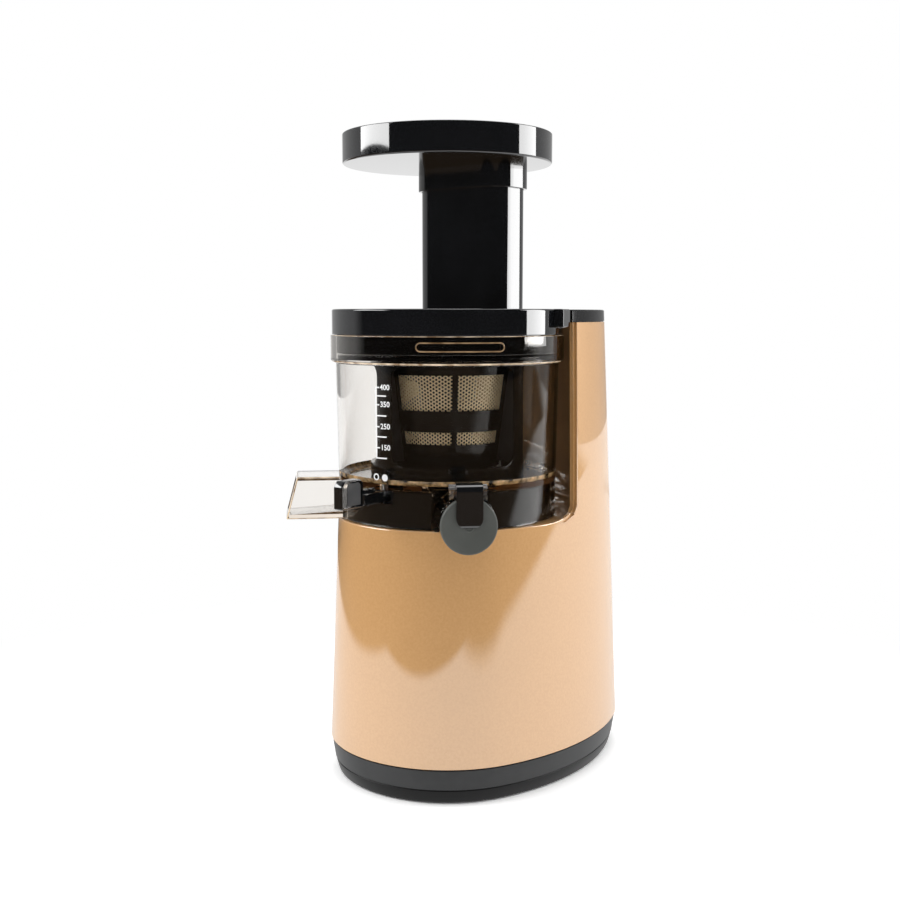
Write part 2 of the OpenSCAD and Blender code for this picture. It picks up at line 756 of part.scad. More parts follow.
// Everything that the arm of the lever passes over its whole swing, from a distance behind its pivot
module lever_sweep(start, h) {
    w = lever_arm_w / 2 + free_gap * 2;
    reach = far / 4;
    linear_extrude(h) polygon([[-w, -start], [-w, -reach],
        turned(w, -reach, lever_swing), turned(w, -start, lever_swing)]);
}

module seat_screws() {
    color(steel) for (az = seat_screw_az) at_az(az, seat_screw_off, deck_z - shell_t - screw_head_h) screw(shell_t + 9);
}

module shaft_seal() {
    color(silicone) translate([0, 0, deck_z - shell_t]) ring(6, neck_r, drive_r + run_gap);
}

// ---- Switch, bushing and electrics ----

// Puts a piece drawn in X (front to back), Y (up) and Z (outwards) on the left side of the shell
module switch_place() {
    translate([-(half_w - (switch_z - joint_z) * tan(draft)), cy, switch_z])
        rotate([0, draft, 0]) rotate([90, 0, -90]) children();
}

rocker_w = switch_w - 5;
rocker_h = switch_h - 6;
rocker_sink = 3;

module switch_housing() {
    color(black) switch_place() difference() {
        union() {
            translate([0, 0, switch_rim_t / 2])
                cube([switch_w + 4, switch_h + 4, switch_rim_t], center = true);
            translate([-switch_w / 2, -switch_h / 2, -switch_depth]) cube([switch_w, switch_h, switch_depth + 0.1]);
        }
        translate([0, 0, switch_rim_t])
            cube([rocker_w + 2 * free_gap, rocker_h + 2 * free_gap, 22], center = true);
        translate([0, 0, -rocker_sink]) rotate([0, 90, 0]) cylinder(h = rocker_w + 4, r = 1.5 + run_gap, center = true);
    }
}

module switch_rocker() {
    bulge_r = 26;
    color(black) switch_place() translate([0, 0, -rocker_sink]) {
        rotate([0, 90, 0]) cylinder(h = rocker_w + 3, r = 1.5, center = true);
        intersection() {
            cube([rocker_w, rocker_h - 2, 14], center = true);
            difference() {
                rotate([0, 90, 0]) cylinder(h = rocker_w, r = rocker_h / 2 - 1, center = true);
                translate([0, 0, 6 + bulge_r]) rotate([0, 90, 0]) cylinder(h = far, r = bulge_r, center = true);
                translate([0, 0, -far / 2 - 2]) cube([far, far, far], center = true);
            }
        }
    }
}

// Puts a piece drawn along Z through the back of the shell
module bushing_place() {
    translate([0, arc_gap + shell_r(bushing_z), bushing_z]) rotate([-90, 0, 0]) children();
}

module cord_bushing() {
    flange = 2;
    color(silicone) bushing_place() difference() {
        union() {
            translate([0, 0, -bushing_l + flange]) cylinder(h = bushing_l, r = bushing_r);
            translate([0, 0, free_gap]) cylinder(h = flange, r = bushing_r + 2);
            translate([0, 0, -shell_t - flange - 1]) cylinder(h = flange, r = bushing_r + 2);
        }
        cylinder(h = far, r = cord_r, center = true);
    }
}

module reed_switch() {
    reed_r = 3;
    reed_h = 18;
    color(white) at_az(reed_az, column_front_r(column_z) + 2 * (shell_t + free_gap) + reed_r, column_z - reed_h)
        cylinder(h = reed_h, r = reed_r);
}

module circuit_board() {
    color([0.10, 0.35, 0.20]) {
        translate([-board[0] / 2, board_y, board_z]) cube(board);
        translate([-board[0] / 2 + 8, board_y - 9, board_z + 10]) cube([18, 9.1, 24]);
        translate([6, board_y - 12, board_z + 14]) cube([16, 12.1, 18]);
        for (x = [-20, 0, 20]) translate([x, board_y + 0.1, board_z + 62]) rotate([90, 0, 0])
            cylinder(h = 14, r = 4);
    }
}

module motor_capacitor() {
    color(white) translate([0, capacitor_y, plate_z + plate_t]) {
        cylinder(h = capacitor_h, r = capacitor_r);
        for (s = [-1, 1]) translate([s * 6 - 1, -0.4, capacitor_h - 0.1]) cube([2, 0.8, 8]);
    }
}

// ---- Motor ----

module on_motor(z) {
    translate([0, motor_y, z]) children();
}

module stator_core() {
    color(steel) on_motor(core_z) difference() {
        ring(stator_h, stator_r, rotor_r + air_gap);
        for (a = [0 : 90 : 270]) rotate(a + 45) translate([bolt_off, 0, -lap])
            cylinder(h = stator_h + 2 * lap, r = screw_r + free_gap);
    }
}

module stator_windings() {
    color(copper) for (z = [winding_z, core_top_z]) on_motor(z) rotate_extrude()
        translate([(rotor_r + air_gap + stator_r - 7) / 2, winding_h / 2])
            round_rect(stator_r - 7 - rotor_r - air_gap - 4, winding_h, winding_h / 2 - 0.1);
}

module rotor_core() {
    color(steel) on_motor(core_z + 1) ring(stator_h - 2, rotor_r, motor_shaft_r);
}

module motor_shaft() {
    color(steel) on_motor(fan_z - 2) cylinder(h = gear_a_z + face_a + 2 - fan_z + 2, r = motor_shaft_r);
}

module motor_pinion() {
    color(steel) on_motor(gear_a_z - 1) difference() {
        gear(pinion_teeth, module_a, face_a + 2, 90 + 180 / pinion_teeth);
        translate([0, 0, -lap]) cylinder(h = far, r = motor_shaft_r);
    }
}

module cooling_fan() {
    hub_r = 9;
    color(white) on_motor(fan_z) difference() {
        union() {
            cylinder(h = fan_h, r = hub_r);
            translate([0, 0, fan_h - 1.5]) cylinder(h = 1.5, r = fan_r);
            for (k = [0 : fan_blade_n - 1]) rotate(360 * k / fan_blade_n)
                translate([hub_r - 1, -0.8, 0]) cube([fan_r - hub_r, 1.6, fan_h - 0.5]);
        }
        translate([0, 0, -lap]) cylinder(h = far, r = motor_shaft_r);
    }
}

// End frame: a plate with a bearing seat, four bolt holes and a rim that holds the stator
module end_frame(z, rim_dir) {
    on_motor(z) difference() {
        union() {
            cylinder(h = frame_t, r = stator_r);
            translate([0, 0, rim_dir > 0 ? 0 : core_top_z - z])
                ring(rim_dir > 0 ? core_z - z : z - core_top_z + frame_t, stator_r, stator_r - 4.5);
        }
        translate([0, 0, -far / 2]) cylinder(h = far, r = bearing_r);
        for (a = [0 : 90 : 270]) rotate(a + 45) translate([bolt_off, 0, -far / 2])
            cylinder(h = far, r = screw_r + free_gap);
        for (a = [0 : 45 : 315]) rotate(a) translate([(bearing_r + stator_r) / 2 - 2, 0, -lap])
            cylinder(h = frame_t + 2 * lap, r = 4);
    }
}

module upper_end_frame() {
    color(dark) end_frame(frame_top_z - frame_t, -1);
}

module lower_end_frame() {
    color(dark) end_frame(frame_low_z, 1);
}

module motor_bearings() {
    color(steel) for (z = [frame_low_z, frame_top_z - frame_t])
        on_motor(z) ring(bearing_h, bearing_r, motor_shaft_r + run_gap);
}

module motor_bolts() {
    color(steel) for (a = [0 : 90 : 270]) on_motor(frame_low_z - screw_head_h) rotate(a + 45)
        translate([bolt_off, 0, 0]) screw(gearbox_z + gearbox_t - frame_low_z);
}

// ---- Gearbox ----

// Outline of the gearbox, smaller by inset
module gearbox_outline(inset) {
    circle(gearbox_front_r - inset);
    translate([0, axle_y]) circle(gearbox_back_r - inset);
    translate([inset - gearbox_back_r, 0]) square([2 * (gearbox_back_r - inset), axle_y]);
}

module gearbox_base() {
    color(steel) translate([0, 0, gearbox_z]) difference() {
        union() {
            linear_extrude(gearbox_t) gearbox_outline(0);
            cylinder(h = gearbox_t + 4, r = drive_r + 5);
            translate([0, axle_y, 0]) cylinder(h = gearbox_t + 3, r = axle_r + 4);
        }
        translate([0, 0, -lap]) cylinder(h = far, r = drive_r + 3);
        translate([0, axle_y, -lap]) cylinder(h = far, r = axle_r);
        translate([0, motor_y, -lap]) cylinder(h = far, r = motor_shaft_r + 1);
        for (a = [0 : 90 : 270]) translate([0, motor_y, -lap]) rotate(a + 45) translate([bolt_off, 0, 0])
            cylinder(h = far, r = screw_r);
    }
}

module gearbox_cover() {
    color(steel) difference() {
        union() {
            translate([0, 0, gearbox_z + gearbox_t]) linear_extrude(gearbox_h - gearbox_t) gearbox_outline(0);
            for (p = gearbox_post) translate([0, 0, gearbox_top - gearbox_t]) {
                translate(p) cylinder(h = gearbox_t, r = gearbox_ear_r);
                translate([p[0] / 2, p[1], gearbox_t / 2])
                    cube([abs(p[0]), 1.6 * gearbox_ear_r, gearbox_t], center = true);
            }
        }
        translate([0, 0, gearbox_z - lap]) linear_extrude(gearbox_h - gearbox_t + lap) gearbox_outline(gearbox_t);
        translate([0, 0, gearbox_top - gearbox_t - lap]) cylinder(h = far, r = drive_r + 3);
        translate([0, axle_y, gearbox_top - gearbox_t - lap]) cylinder(h = far, r = axle_r);
        for (p = gearbox_post) translate([p[0], p[1], gearbox_z]) cylinder(h = far, r = screw_r + run_gap);
    }
}

module gearbox_screws() {
    color(steel) for (p = gearbox_post)
        translate([p[0], p[1], gearbox_top - gearbox_t - screw_head_h]) screw(gearbox_t + 11);
}

module intermediate_gear() {
    color(white) translate([0, axle_y, gear_a_z]) difference() {
        union() {
            gear(wheel_teeth, module_a, face_a, -90);
            translate([0, 0, face_a - 0.01]) gear(pinion_teeth, module_b, face_b + 4, -90);
        }
        translate([0, 0, -lap]) cylinder(h = far, r = axle_r + run_gap);
    }
}

module intermediate_axle() {
    color(steel) translate([0, axle_y, gearbox_z]) cylinder(h = gearbox_h, r = axle_r);
}

module output_gear() {
    color(steel) translate([0, 0, gear_b_z]) difference() {
        gear(wheel_teeth, module_b, face_b, 90 + 180 / wheel_teeth);
        translate([0, 0, -lap]) cylinder(h = far, r = drive_r);
        for (a = [0 : 60 : 300]) rotate(a) translate([26, 0, -lap]) cylinder(h = far, r = 8);
    }
}

module drive_shaft() {
    hex_z = deck_z + 4;
    color(steel) {
        translate([0, 0, gearbox_z + 1]) cylinder(h = hex_z - gearbox_z - 1, r = drive_r);
        translate([0, 0, hex_z - 0.01]) cylinder(h = hex_top - hex_z, r = hex_af / sqrt(3), $fn = 6);
    }
}

module drive_bushes() {
    color(copper) {
        translate([0, 0, gearbox_z]) ring(gearbox_t + 4, drive_r + 3, drive_r + run_gap);
        translate([0, 0, gearbox_top - gearbox_t]) ring(gearbox_t + 3, drive_r + 3, drive_r + run_gap);
    }
}

// ---- Bowl ----

module bowl() {
    color(clear) difference() {
        union() {
            bowl_wall();
            translate([0, 0, floor_z]) cylinder(h = floor_t, r = bowl_wall_r(floor_z) - bowl_t / 2);
            chute_block();
            spout_block();
            at_az(0, lever_pivot_off, floor_z) cylinder(h = floor_t + 3, r = lever_pin_r + 3);
        }
        translate([0, 0, floor_z - lap]) cylinder(h = far, r = seal_r);
        at_az(0, lever_pivot_off, floor_z - lap) cylinder(h = floor_t + lap, r = lever_pin_r);
        at_az(idler_az, idler_off, floor_z + 1) cylinder(h = far, r = idler_pin_r);
        chute_space();
        spout_space();
        lever_slot();
    }
}

seal_r = journal_r + 3.2;

// Wall, skirt and flange ring of the bowl
module bowl_wall() {
    mid = bowl_wall_r(floor_z);
    rotate_extrude() polygon([
        [bowl_r - bowl_t, bowl_z], [bowl_r, bowl_z], [bowl_top_r, flange_z], [flange_r, flange_z],
        [flange_r, flange_top], [flange_r - flange_t, flange_top], [flange_r - flange_t, ledge_z],
        [bowl_top_r - bowl_t, ledge_z], [bowl_top_r - bowl_t, flange_z], [mid - bowl_t, floor_z]
    ]);
}

// Outside of the pulp chute
module chute_block() {
    top = floor_top + 0.8;
    start = neck_r + neck_wall + 3 * free_gap;
    face_az(-outlet_az) translate([0, chute_w / 2, 0]) rotate([90, 0, 0]) linear_extrude(chute_w)
        polygon([[start, chute_z], [chute_reach, chute_z], [chute_reach - chute_lean, top],
            [bowl_r - bowl_t, top], [bowl_r - bowl_t, floor_z + 0.1], [start, floor_z + 0.1]]);
}

// Inside of the pulp chute, its outlet in the floor and the slot that lets the gate in
module chute_space() {
    w = chute_w - 2 * outlet_t;
    start = neck_r + neck_wall + 3 * free_gap + outlet_t;
    ramp = 5;
    face_az(-outlet_az) {
        translate([0, w / 2, 0]) rotate([90, 0, 0]) linear_extrude(w)
            polygon([[start, chute_z + outlet_t + ramp], [chute_reach, chute_z + outlet_t],
                [far, chute_z + outlet_t], [far, floor_z], [start, floor_z]]);
        translate([pulp_hole_off, 0, floor_z - lap]) cylinder(h = far, r = pulp_hole_r);
        translate([start - 2 * outlet_t, 0, gate_z - gate_t - 2 * free_gap])
            cube([bowl_r - bowl_t - start, chute_w, floor_z - gate_z + gate_t + 2 * free_gap]);
    }
}

// Outside of the juice spout
module spout_block() {
    inner = bowl_r + 1.6;
    ear_t = 3;
    start = juice_hole_off - juice_hole_r - outlet_t;
    face_az(outlet_az) {
        translate([inner, 0, spout_z]) rotate([0, 90, 0]) cylinder(h = spout_reach - inner, r = spout_r);
        translate([start, -spout_r, chute_z]) cube([inner + 2 - start, 2 * spout_r, floor_z + 0.1 - chute_z]);
        translate([bowl_r - bowl_t / 2, -spout_r, floor_z])
            cube([inner + 2 - bowl_r + bowl_t / 2, 2 * spout_r, floor_t - outlet_t / 4]);
        for (s = [-1, 1]) translate([hinge_off, s * (cap_arm_w / 2 + free_gap + ear_t / 2), 0]) {
            translate([0, ear_t / 2, hinge_z]) rotate([90, 0, 0]) cylinder(h = ear_t, r = cap_barrel_r);
            translate([-cap_barrel_r, -ear_t / 2, spout_z + spout_r / 2])
                cube([cap_barrel_r + 1, ear_t, hinge_z - spout_z - spout_r / 2]);
        }
    }
}

// Inside of the juice spout, its outlet in the floor and the holes of the hinge pin
module spout_space() {
    inner = bowl_r + 1.6;
    start = juice_hole_off - juice_hole_r;
    w = 2 * (spout_r - outlet_t);
    face_az(outlet_az) {
        translate([inner + outlet_t, 0, spout_z]) rotate([0, 90, 0]) cylinder(h = far, r = spout_r - outlet_t);
        translate([start, -w / 2 + 2, chute_z + outlet_t])
            cube([inner + outlet_t + 2 - start, w - 4, floor_z - chute_z - outlet_t - 3]);
        translate([juice_hole_off, 0, floor_z - 4]) cylinder(h = far, r = juice_hole_r);
        translate([hinge_off, 0, hinge_z]) rotate([90, 0, 0])
            cylinder(h = cap_arm_w + far / 4, r = cap_pin_r, center = true);
    }
}

// Slot in the skirt of the bowl for the arm of the lever
module lever_slot() {
    low = lever_z - free_gap;
    translate([0, -lever_pivot_off, low]) lever_sweep(lever_hub_r, floor_z - low);
}

module bowl_seal() {
    lip = free_gap;
    color(silicone) translate([0, 0, floor_z - lip]) difference() {
        union() {
            cylinder(h = floor_t + lip, r = seal_r);
            cylinder(h = lip, r = seal_r + 1.5);
        }
        translate([0, 0, -lap]) cylinder(h = far, r = journal_r + run_gap);
    }
}

module idler_pin() {
    color(steel) at_az(idler_az, idler_off, floor_z + 1)
        cylinder(h = gear_c_top - floor_z - 1, r = idler_pin_r);
}

module brush_idler() {
    color(white) at_az(idler_az, idler_off, gear_c_z) difference() {
        gear(idler_teeth, module_c, face_c - free_gap, idler_turn);
        translate([0, 0, -lap]) cylinder(h = far, r = idler_pin_r + run_gap);
    }
}

// The sun has a tooth and the idler a gap on the line between their axes
mesh_dir = idler_az - 90;
sun_turn = mesh_dir;
idler_turn = mesh_dir + 180 - 180 / idler_teeth;
ring_turn = mesh_dir - ((mesh_dir - idler_turn) * idler_teeth / 360) * 360 / ring_teeth;

// ---- Spinning brush ----

module spinning_brush() {
    inner = brush_r - brush_t;
    foot_top = gear_c_top + 1.5;
    color(black) difference() {
        translate([0, 0, brush_z]) union() {
            ring(brush_top - brush_z, brush_r, inner);
            ring(foot_top - brush_z, brush_r, ring_r - 2);
        }
        translate([0, 0, brush_z - lap]) ring_gear_tool(ring_teeth, module_c, far, ring_turn);
        for (k = [0 : brush_window_n - 1])
            brush_window(outlet_az + 360 * k / brush_window_n);
    }
}

// Window with round corners, cut straight outwards through one side of the brush
module brush_window(az) {
    corner = 7;
    w = 2 * brush_r * sin(brush_window_arc / 2);
    start = brush_r * cos(brush_window_arc / 2) / 2;
    face_az(az) translate([start, 0, brush_window_z + brush_window_h / 2]) rotate([90, 0, 90])
        linear_extrude(brush_r) round_rect(w, brush_window_h, corner);
}

module brush_wipers() {
    z0 = brush_window_z + 2;
    z1 = z0 + brush_window_h - 6;
    color(silicone) for (k = [0 : brush_window_n - 1])
        face_az(outlet_az + 360 * (k + 0.5) / brush_window_n) translate([0, wiper_t / 2, 0])
            rotate([90, 0, 0]) linear_extrude(wiper_t)
                polygon([[strainer_r(z0) + free_gap, z0], [brush_r - brush_t, z0],
                    [brush_r - brush_t, z1], [strainer_r(z1) + free_gap, z1]]);
}

// ---- Strainer ----

module strainer_frame() {
    foot = strainer_z;
    pipe_r = pulp_hole_r + 2;
    bore = journal_r + free_gap * 2;
    color(black) difference() {
        union() {
            rotate_extrude() polygon([
                [bore, foot], [strainer_foot_r, foot], [strainer_r(ledge_z), ledge_z],
                [bowl_top_r - bowl_t - free_gap + 1.2, ledge_z],
                [bowl_top_r - bowl_t - free_gap + 1.2, ledge_z + strainer_flange_t],
                [strainer_r(ledge_z + strainer_flange_t) - strainer_t, ledge_z + strainer_flange_t],
                [strainer_r(foot + strainer_floor_t) - strainer_t, foot + strainer_floor_t],
                [bore, foot + strainer_floor_t]
            ]);
            at_az(-outlet_az, pulp_hole_off, floor_top) cylinder(h = foot - floor_top + 0.5, r = pipe_r);
        }
        for (k = [0 : strainer_rib_n - 1]) {
            strainer_window(k, mesh_low_z, mesh_low_z + mesh_low_h);
            strainer_window(k, mesh_high_z, mesh_top_z);
        }
        at_az(-outlet_az, pulp_hole_off, floor_top - lap) cylinder(h = 16, r = pulp_hole_r);
    }
}

// Opening between two ribs of the strainer
module strainer_window(k, z0, z1) {
    step = 360 / strainer_rib_n;
    arc = step - strainer_rib_w / strainer_top_r * 180 / PI;
    sector(z0, z1, strainer_foot_r - strainer_t - 3, strainer_top_r + 3, outlet_az + step * (k + 0.5), arc);
}

// Sleeve of perforated steel inside the frame, between two heights
module mesh_sleeve(z0, z1) {
    inset = strainer_t + 0.05;
    rotate_extrude() polygon([
        [strainer_r(z0) - inset - mesh_t, z0], [strainer_r(z0) - inset, z0],
        [strainer_r(z1) - inset, z1], [strainer_r(z1) - inset - mesh_t, z1]
    ]);
}

module upper_mesh() {
    color(steel) mesh_sleeve(mesh_high_z - 2, mesh_top_z + 2);
}

module lower_mesh() {
    color(steel) mesh_sleeve(mesh_low_z - 2, mesh_low_z + mesh_low_h + 2);
}

// ---- Auger ----

module auger() {
    h = auger_top - auger_z;
    r0 = strainer_r(auger_z) - strainer_t - auger_gap;
    r1 = strainer_r(auger_top) - strainer_t - auger_gap;
    core_top_r = auger_core_r * r1 / r0;
    color(dark) difference() {
        union() {
            translate([0, 0, auger_z]) linear_extrude(h, twist = auger_twist, scale = r1 / r0, slices = 40)
                auger_section(r0, $fn = 32);
            translate([0, 0, auger_top]) cylinder(h = 3, r1 = core_top_r - lap, r2 = core_top_r - 3);
            translate([0, 0, auger_top]) cylinder(h = pin_top - auger_top, r = auger_pin_r);
            translate([0, 0, gear_c_top]) cylinder(h = auger_z - gear_c_top, r = journal_r);
            translate([0, 0, gear_c_z]) gear(sun_teeth, module_c, face_c, sun_turn);
            translate([0, 0, journal_z]) cylinder(h = gear_c_z - journal_z + 0.1, r = journal_r);
        }
        translate([0, 0, journal_z - lap]) cylinder(h = hex_top + 3 - journal_z + lap, r = insert_r);
    }
}

insert_r = (hex_af + free_gap) / sqrt(3) + insert_wall;

// Plan of the flights, thinner towards their tips and cut to the radius r
module auger_section(r) {
    intersection() {
        circle(r);
        union() {
            circle(auger_core_r);
            for (k = [0 : auger_flight_n - 1]) rotate(360 * k / auger_flight_n)
                polygon([[0, -auger_flight_t], [r + lap, -auger_flight_t / 4],
                    [r + lap, auger_flight_t / 4], [0, auger_flight_t]]);
        }
    }
}

module auger_insert() {
    h = hex_top + 3 - journal_z;
    color(steel) translate([0, 0, journal_z]) difference() {
        cylinder(h = h, r = insert_r);
        translate([0, 0, -lap]) cylinder(h = h - 2 + lap, r = (hex_af + free_gap) / sqrt(3), $fn = 6);
    }
}

// ---- Juice cap and control lever ----

module juice_cap() {
    u = spout_reach + 1;
    pad_gap = cap_pin_r + run_gap;
    color(black) face_az(outlet_az) difference() {
        union() {
            translate([u, 0, spout_z]) rotate([0, 90, 0]) cylinder(h = cap_t, r = cap_r);
            translate([u, -cap_arm_w / 2, spout_z]) cube([cap_t, cap_arm_w, hinge_z - spout_z]);
            translate([hinge_off, cap_arm_w / 2, hinge_z]) rotate([90, 0, 0]) cylinder(h = cap_arm_w, r = cap_barrel_r);
            translate([hinge_off, -cap_arm_w / 2, hinge_z]) cube([u + cap_t - hinge_off, cap_arm_w, cap_barrel_r]);
            translate([u + cap_t - 0.1, 0, spout_z]) rotate([0, 90, 0]) cylinder(h = 0.9, r = 2.5);
        }
        translate([hinge_off, 0, hinge_z]) rotate([90, 0, 0]) cylinder(h = far, r = pad_gap, center = true);
        translate([u + cap_t + 0.2, 0, spout_z]) rotate([0, 90, 0]) cylinder(h = lap, r = 1.6);
        translate([u + 1, 0, hinge_z + cap_barrel_r]) rotate([90, 0, 0]) cap_shoulder();
    }
}

// Rounds the outer shoulder of the arm of the juice cap
module cap_shoulder() {
    r = cap_t - 1;
    translate([0, -r, -cap_arm_w]) linear_extrude(2 * cap_arm_w) difference() {
        square([r + lap, r + lap]);
        circle(r);
    }
}

module juice_cap_pad() {
    u = spout_reach + 1;
    color(silicone) face_az(outlet_az) translate([u - cap_pad_t, 0, spout_z]) rotate([0, 90, 0])
        cylinder(h = cap_pad_t, r = spout_r - outlet_t - free_gap);
}

module juice_cap_pin() {
    color(steel) face_az(outlet_az) translate([hinge_off, 0, hinge_z]) rotate([90, 0, 0])
        cylinder(h = cap_arm_w + 2 * free_gap + 6, r = cap_pin_r, center = true);
}

module control_lever() {
    outer_top = lever_z + lever_arm_t;
    color(black) difference() {
        union() {
            at_az(0, lever_pivot_off, lever_z) cylinder(h = lever_arm_t, r = lever_hub_r);
            translate([-lever_arm_w / 2, -grip_start - 1, lever_z])
                cube([lever_arm_w, grip_start + 1 - lever_pivot_off, lever_arm_t]);
            translate([-grip_w / 2, -grip_reach, lever_z - grip_drop]) cube([grip_w, grip_reach - grip_start, grip_h]);
            translate([-grip_w / 2, -grip_start - 1, outer_top - 0.1])
                cube([grip_w, grip_start - bowl_r - 3, 3.1]);
            translate([0, -lever_pivot_off, gate_z - gate_t]) rotate(gate_turn) gate_arm();
        }
        at_az(0, lever_pivot_off, lever_z - lap) cylinder(h = far, r = lever_pin_r + run_gap);
    }
}

// Plate that carries the pulp gate, drawn along +Y from the pivot
module gate_arm() {
    arm_w = 7;
    translate([-arm_w / 2, 0, 0]) cube([arm_w, gate_len, gate_t]);
    translate([0, gate_len, 0]) cylinder(h = gate_t, r = gate_r - 0.5);
}

module pulp_gate() {
    color(silicone) face_az(-outlet_az) translate([pulp_hole_off, 0, gate_z]) cylinder(h = gate_t, r = gate_r);
}

module lever_pin() {
    color(steel) {
        at_az(0, lever_pivot_off, lever_z) cylinder(h = floor_top - lever_z, r = lever_pin_r);
        at_az(0, lever_pivot_off, lever_z - 1.2 - free_gap / 2) cylinder(h = 1.2, r = lever_pin_r + 2);
        at_az(0, lever_pivot_off, lever_z - free_gap / 2 - 0.1) cylinder(h = 1, r = lever_pin_r);
    }
}

// ---- Lid and tray ----

bush_wall = 1.5;                                          // wall of the bush in the lid
hub_wall = 2.2;                                           // wall of the hub round that bush
hub_z = lid_z - 3;                                        // lower end of the hub

module lid() {
    skirt_r = flange_r - flange_t - free_gap;
    color(black) {
        difference() {
            union() {
                translate([0, 0, lid_z]) difference() {
                    cylinder(h = lid_h, r = lid_r);
                    translate([0, 0, -lap]) cylinder(h = lid_h - lid_t + lap, r = lid_r - lid_t);
                }
                translate([0, 0, lid_z - lid_skirt_h])
                    ring(lid_h + lid_skirt_h - lid_t / 2, skirt_r, skirt_r - lid_t + 0.6);
                translate([0, tube_y, hub_z]) linear_extrude(tray_z - hub_z)
                    round_rect(tube_w, tube_d, tube_corner);
                lock_ear();
            }
            translate([0, tube_y, -lap]) linear_extrude(tray_z + far)
                round_rect(tube_w - 2 * tube_t, tube_d - 2 * tube_t, tube_corner - tube_t);
            translate([0, 0, hub_z - lap])
                cylinder(h = lid_top - lid_t - hub_z + lap, r = auger_pin_r + bush_wall);
            magnet_place() translate([0, 0, -lid_r / 5]) cylinder(h = lid_r / 5 + magnet_t, r = magnet_r);
        }
        translate([0, 0, hub_z])
            ring(lid_top - lid_t / 2 - hub_z, auger_pin_r + bush_wall + hub_wall, auger_pin_r + bush_wall);
    }
}

ear_r = column_front_r(lid_top) - free_gap * 2;

// Ear on the rim of the lid that reaches the front of the column
module lock_ear() {
    intersection() {
        translate([0, 0, lid_z + 4]) cylinder(h = lid_h - 4, r = ear_r);
        face_az(ear_az) translate([lid_r - lid_t, -ear_w / 2, lid_z]) cube([far, ear_w, lid_h]);
    }
}

// Pocket that is open to the inside of the lid, opposite the reed switch
module magnet_place() {
    face_az(reed_az) translate([lid_r - 1 - magnet_t, 0, lid_z + lid_h / 3]) rotate([0, 90, 0]) children();
}

module lid_magnet() {
    color(steel) magnet_place() cylinder(h = magnet_t, r = magnet_r);
}

module lid_bush() {
    color(steel) translate([0, 0, hub_z]) difference() {
        cylinder(h = lid_top - lid_t - hub_z, r = auger_pin_r + bush_wall);
        translate([0, 0, -lap]) cylinder(h = far, r = auger_pin_r + run_gap);
    }
}

module tray() {
    gap = 0.25;
    color(black) difference() {
        union() {
            translate([0, 0, tray_z]) difference() {
                cylinder(h = tray_h, r = tray_r);
                translate([0, 0, tray_t]) cylinder(h = tray_h, r = tray_r - tray_t);
            }
            translate([0, tube_y, tray_z - collar_h]) linear_extrude(collar_h + tray_t / 2)
                round_rect(tube_w + 2 * (gap + collar_t), tube_d + 2 * (gap + collar_t), tube_corner + gap + collar_t);
        }
        translate([0, tube_y, tray_z - collar_h - lap]) linear_extrude(collar_h + lap)
            round_rect(tube_w + 2 * gap, tube_d + 2 * gap, tube_corner + gap);
        translate([0, tube_y, tray_z - lap]) linear_extrude(far)
            round_rect(tube_w - 2 * tube_t, tube_d - 2 * tube_t, tube_corner - tube_t);
    }
}

housing();
column_cap();
base_skirt();
bottom_plate();
front_foot();
rear_feet();
bottom_screws();
bowl_seat();
seat_screws();
shaft_seal();
switch_housing();
switch_rocker();
cord_bushing();
reed_switch();
circuit_board();
motor_capacitor();
stator_core();
stator_windings();
rotor_core();
motor_shaft();
motor_pinion();
cooling_fan();
upper_end_frame();
lower_end_frame();
motor_bearings();
motor_bolts();
gearbox_base();
gearbox_cover();
gearbox_screws();
intermediate_gear();
intermediate_axle();
output_gear();
drive_shaft();
drive_bushes();
bowl();
bowl_seal();
brush_idler();
idler_pin();
spinning_brush();
brush_wipers();
strainer_frame();
upper_mesh();
lower_mesh();
auger();
auger_insert();
juice_cap();
juice_cap_pad();
juice_cap_pin();
control_lever();
pulp_gate();
lever_pin();
lid();
lid_bush();
lid_magnet();
tray();
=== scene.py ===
"""Cold press juicer: the pieces that show, their finishes and the studio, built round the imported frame."""

import json
import math

import bmesh
import bpy
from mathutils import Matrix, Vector


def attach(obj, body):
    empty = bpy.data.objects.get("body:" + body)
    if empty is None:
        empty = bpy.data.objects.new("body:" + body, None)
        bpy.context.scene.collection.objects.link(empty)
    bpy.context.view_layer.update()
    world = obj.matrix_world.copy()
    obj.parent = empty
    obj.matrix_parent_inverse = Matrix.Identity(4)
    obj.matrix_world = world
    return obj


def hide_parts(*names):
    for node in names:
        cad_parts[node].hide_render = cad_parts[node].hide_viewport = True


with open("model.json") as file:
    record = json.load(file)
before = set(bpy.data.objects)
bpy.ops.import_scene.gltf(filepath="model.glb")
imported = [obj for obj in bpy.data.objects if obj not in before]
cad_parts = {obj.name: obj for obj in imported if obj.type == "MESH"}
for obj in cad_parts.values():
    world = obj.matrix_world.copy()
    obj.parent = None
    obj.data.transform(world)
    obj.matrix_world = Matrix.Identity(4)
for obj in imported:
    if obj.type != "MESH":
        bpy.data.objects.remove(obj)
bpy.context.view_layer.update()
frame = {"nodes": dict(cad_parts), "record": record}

MM = 0.001

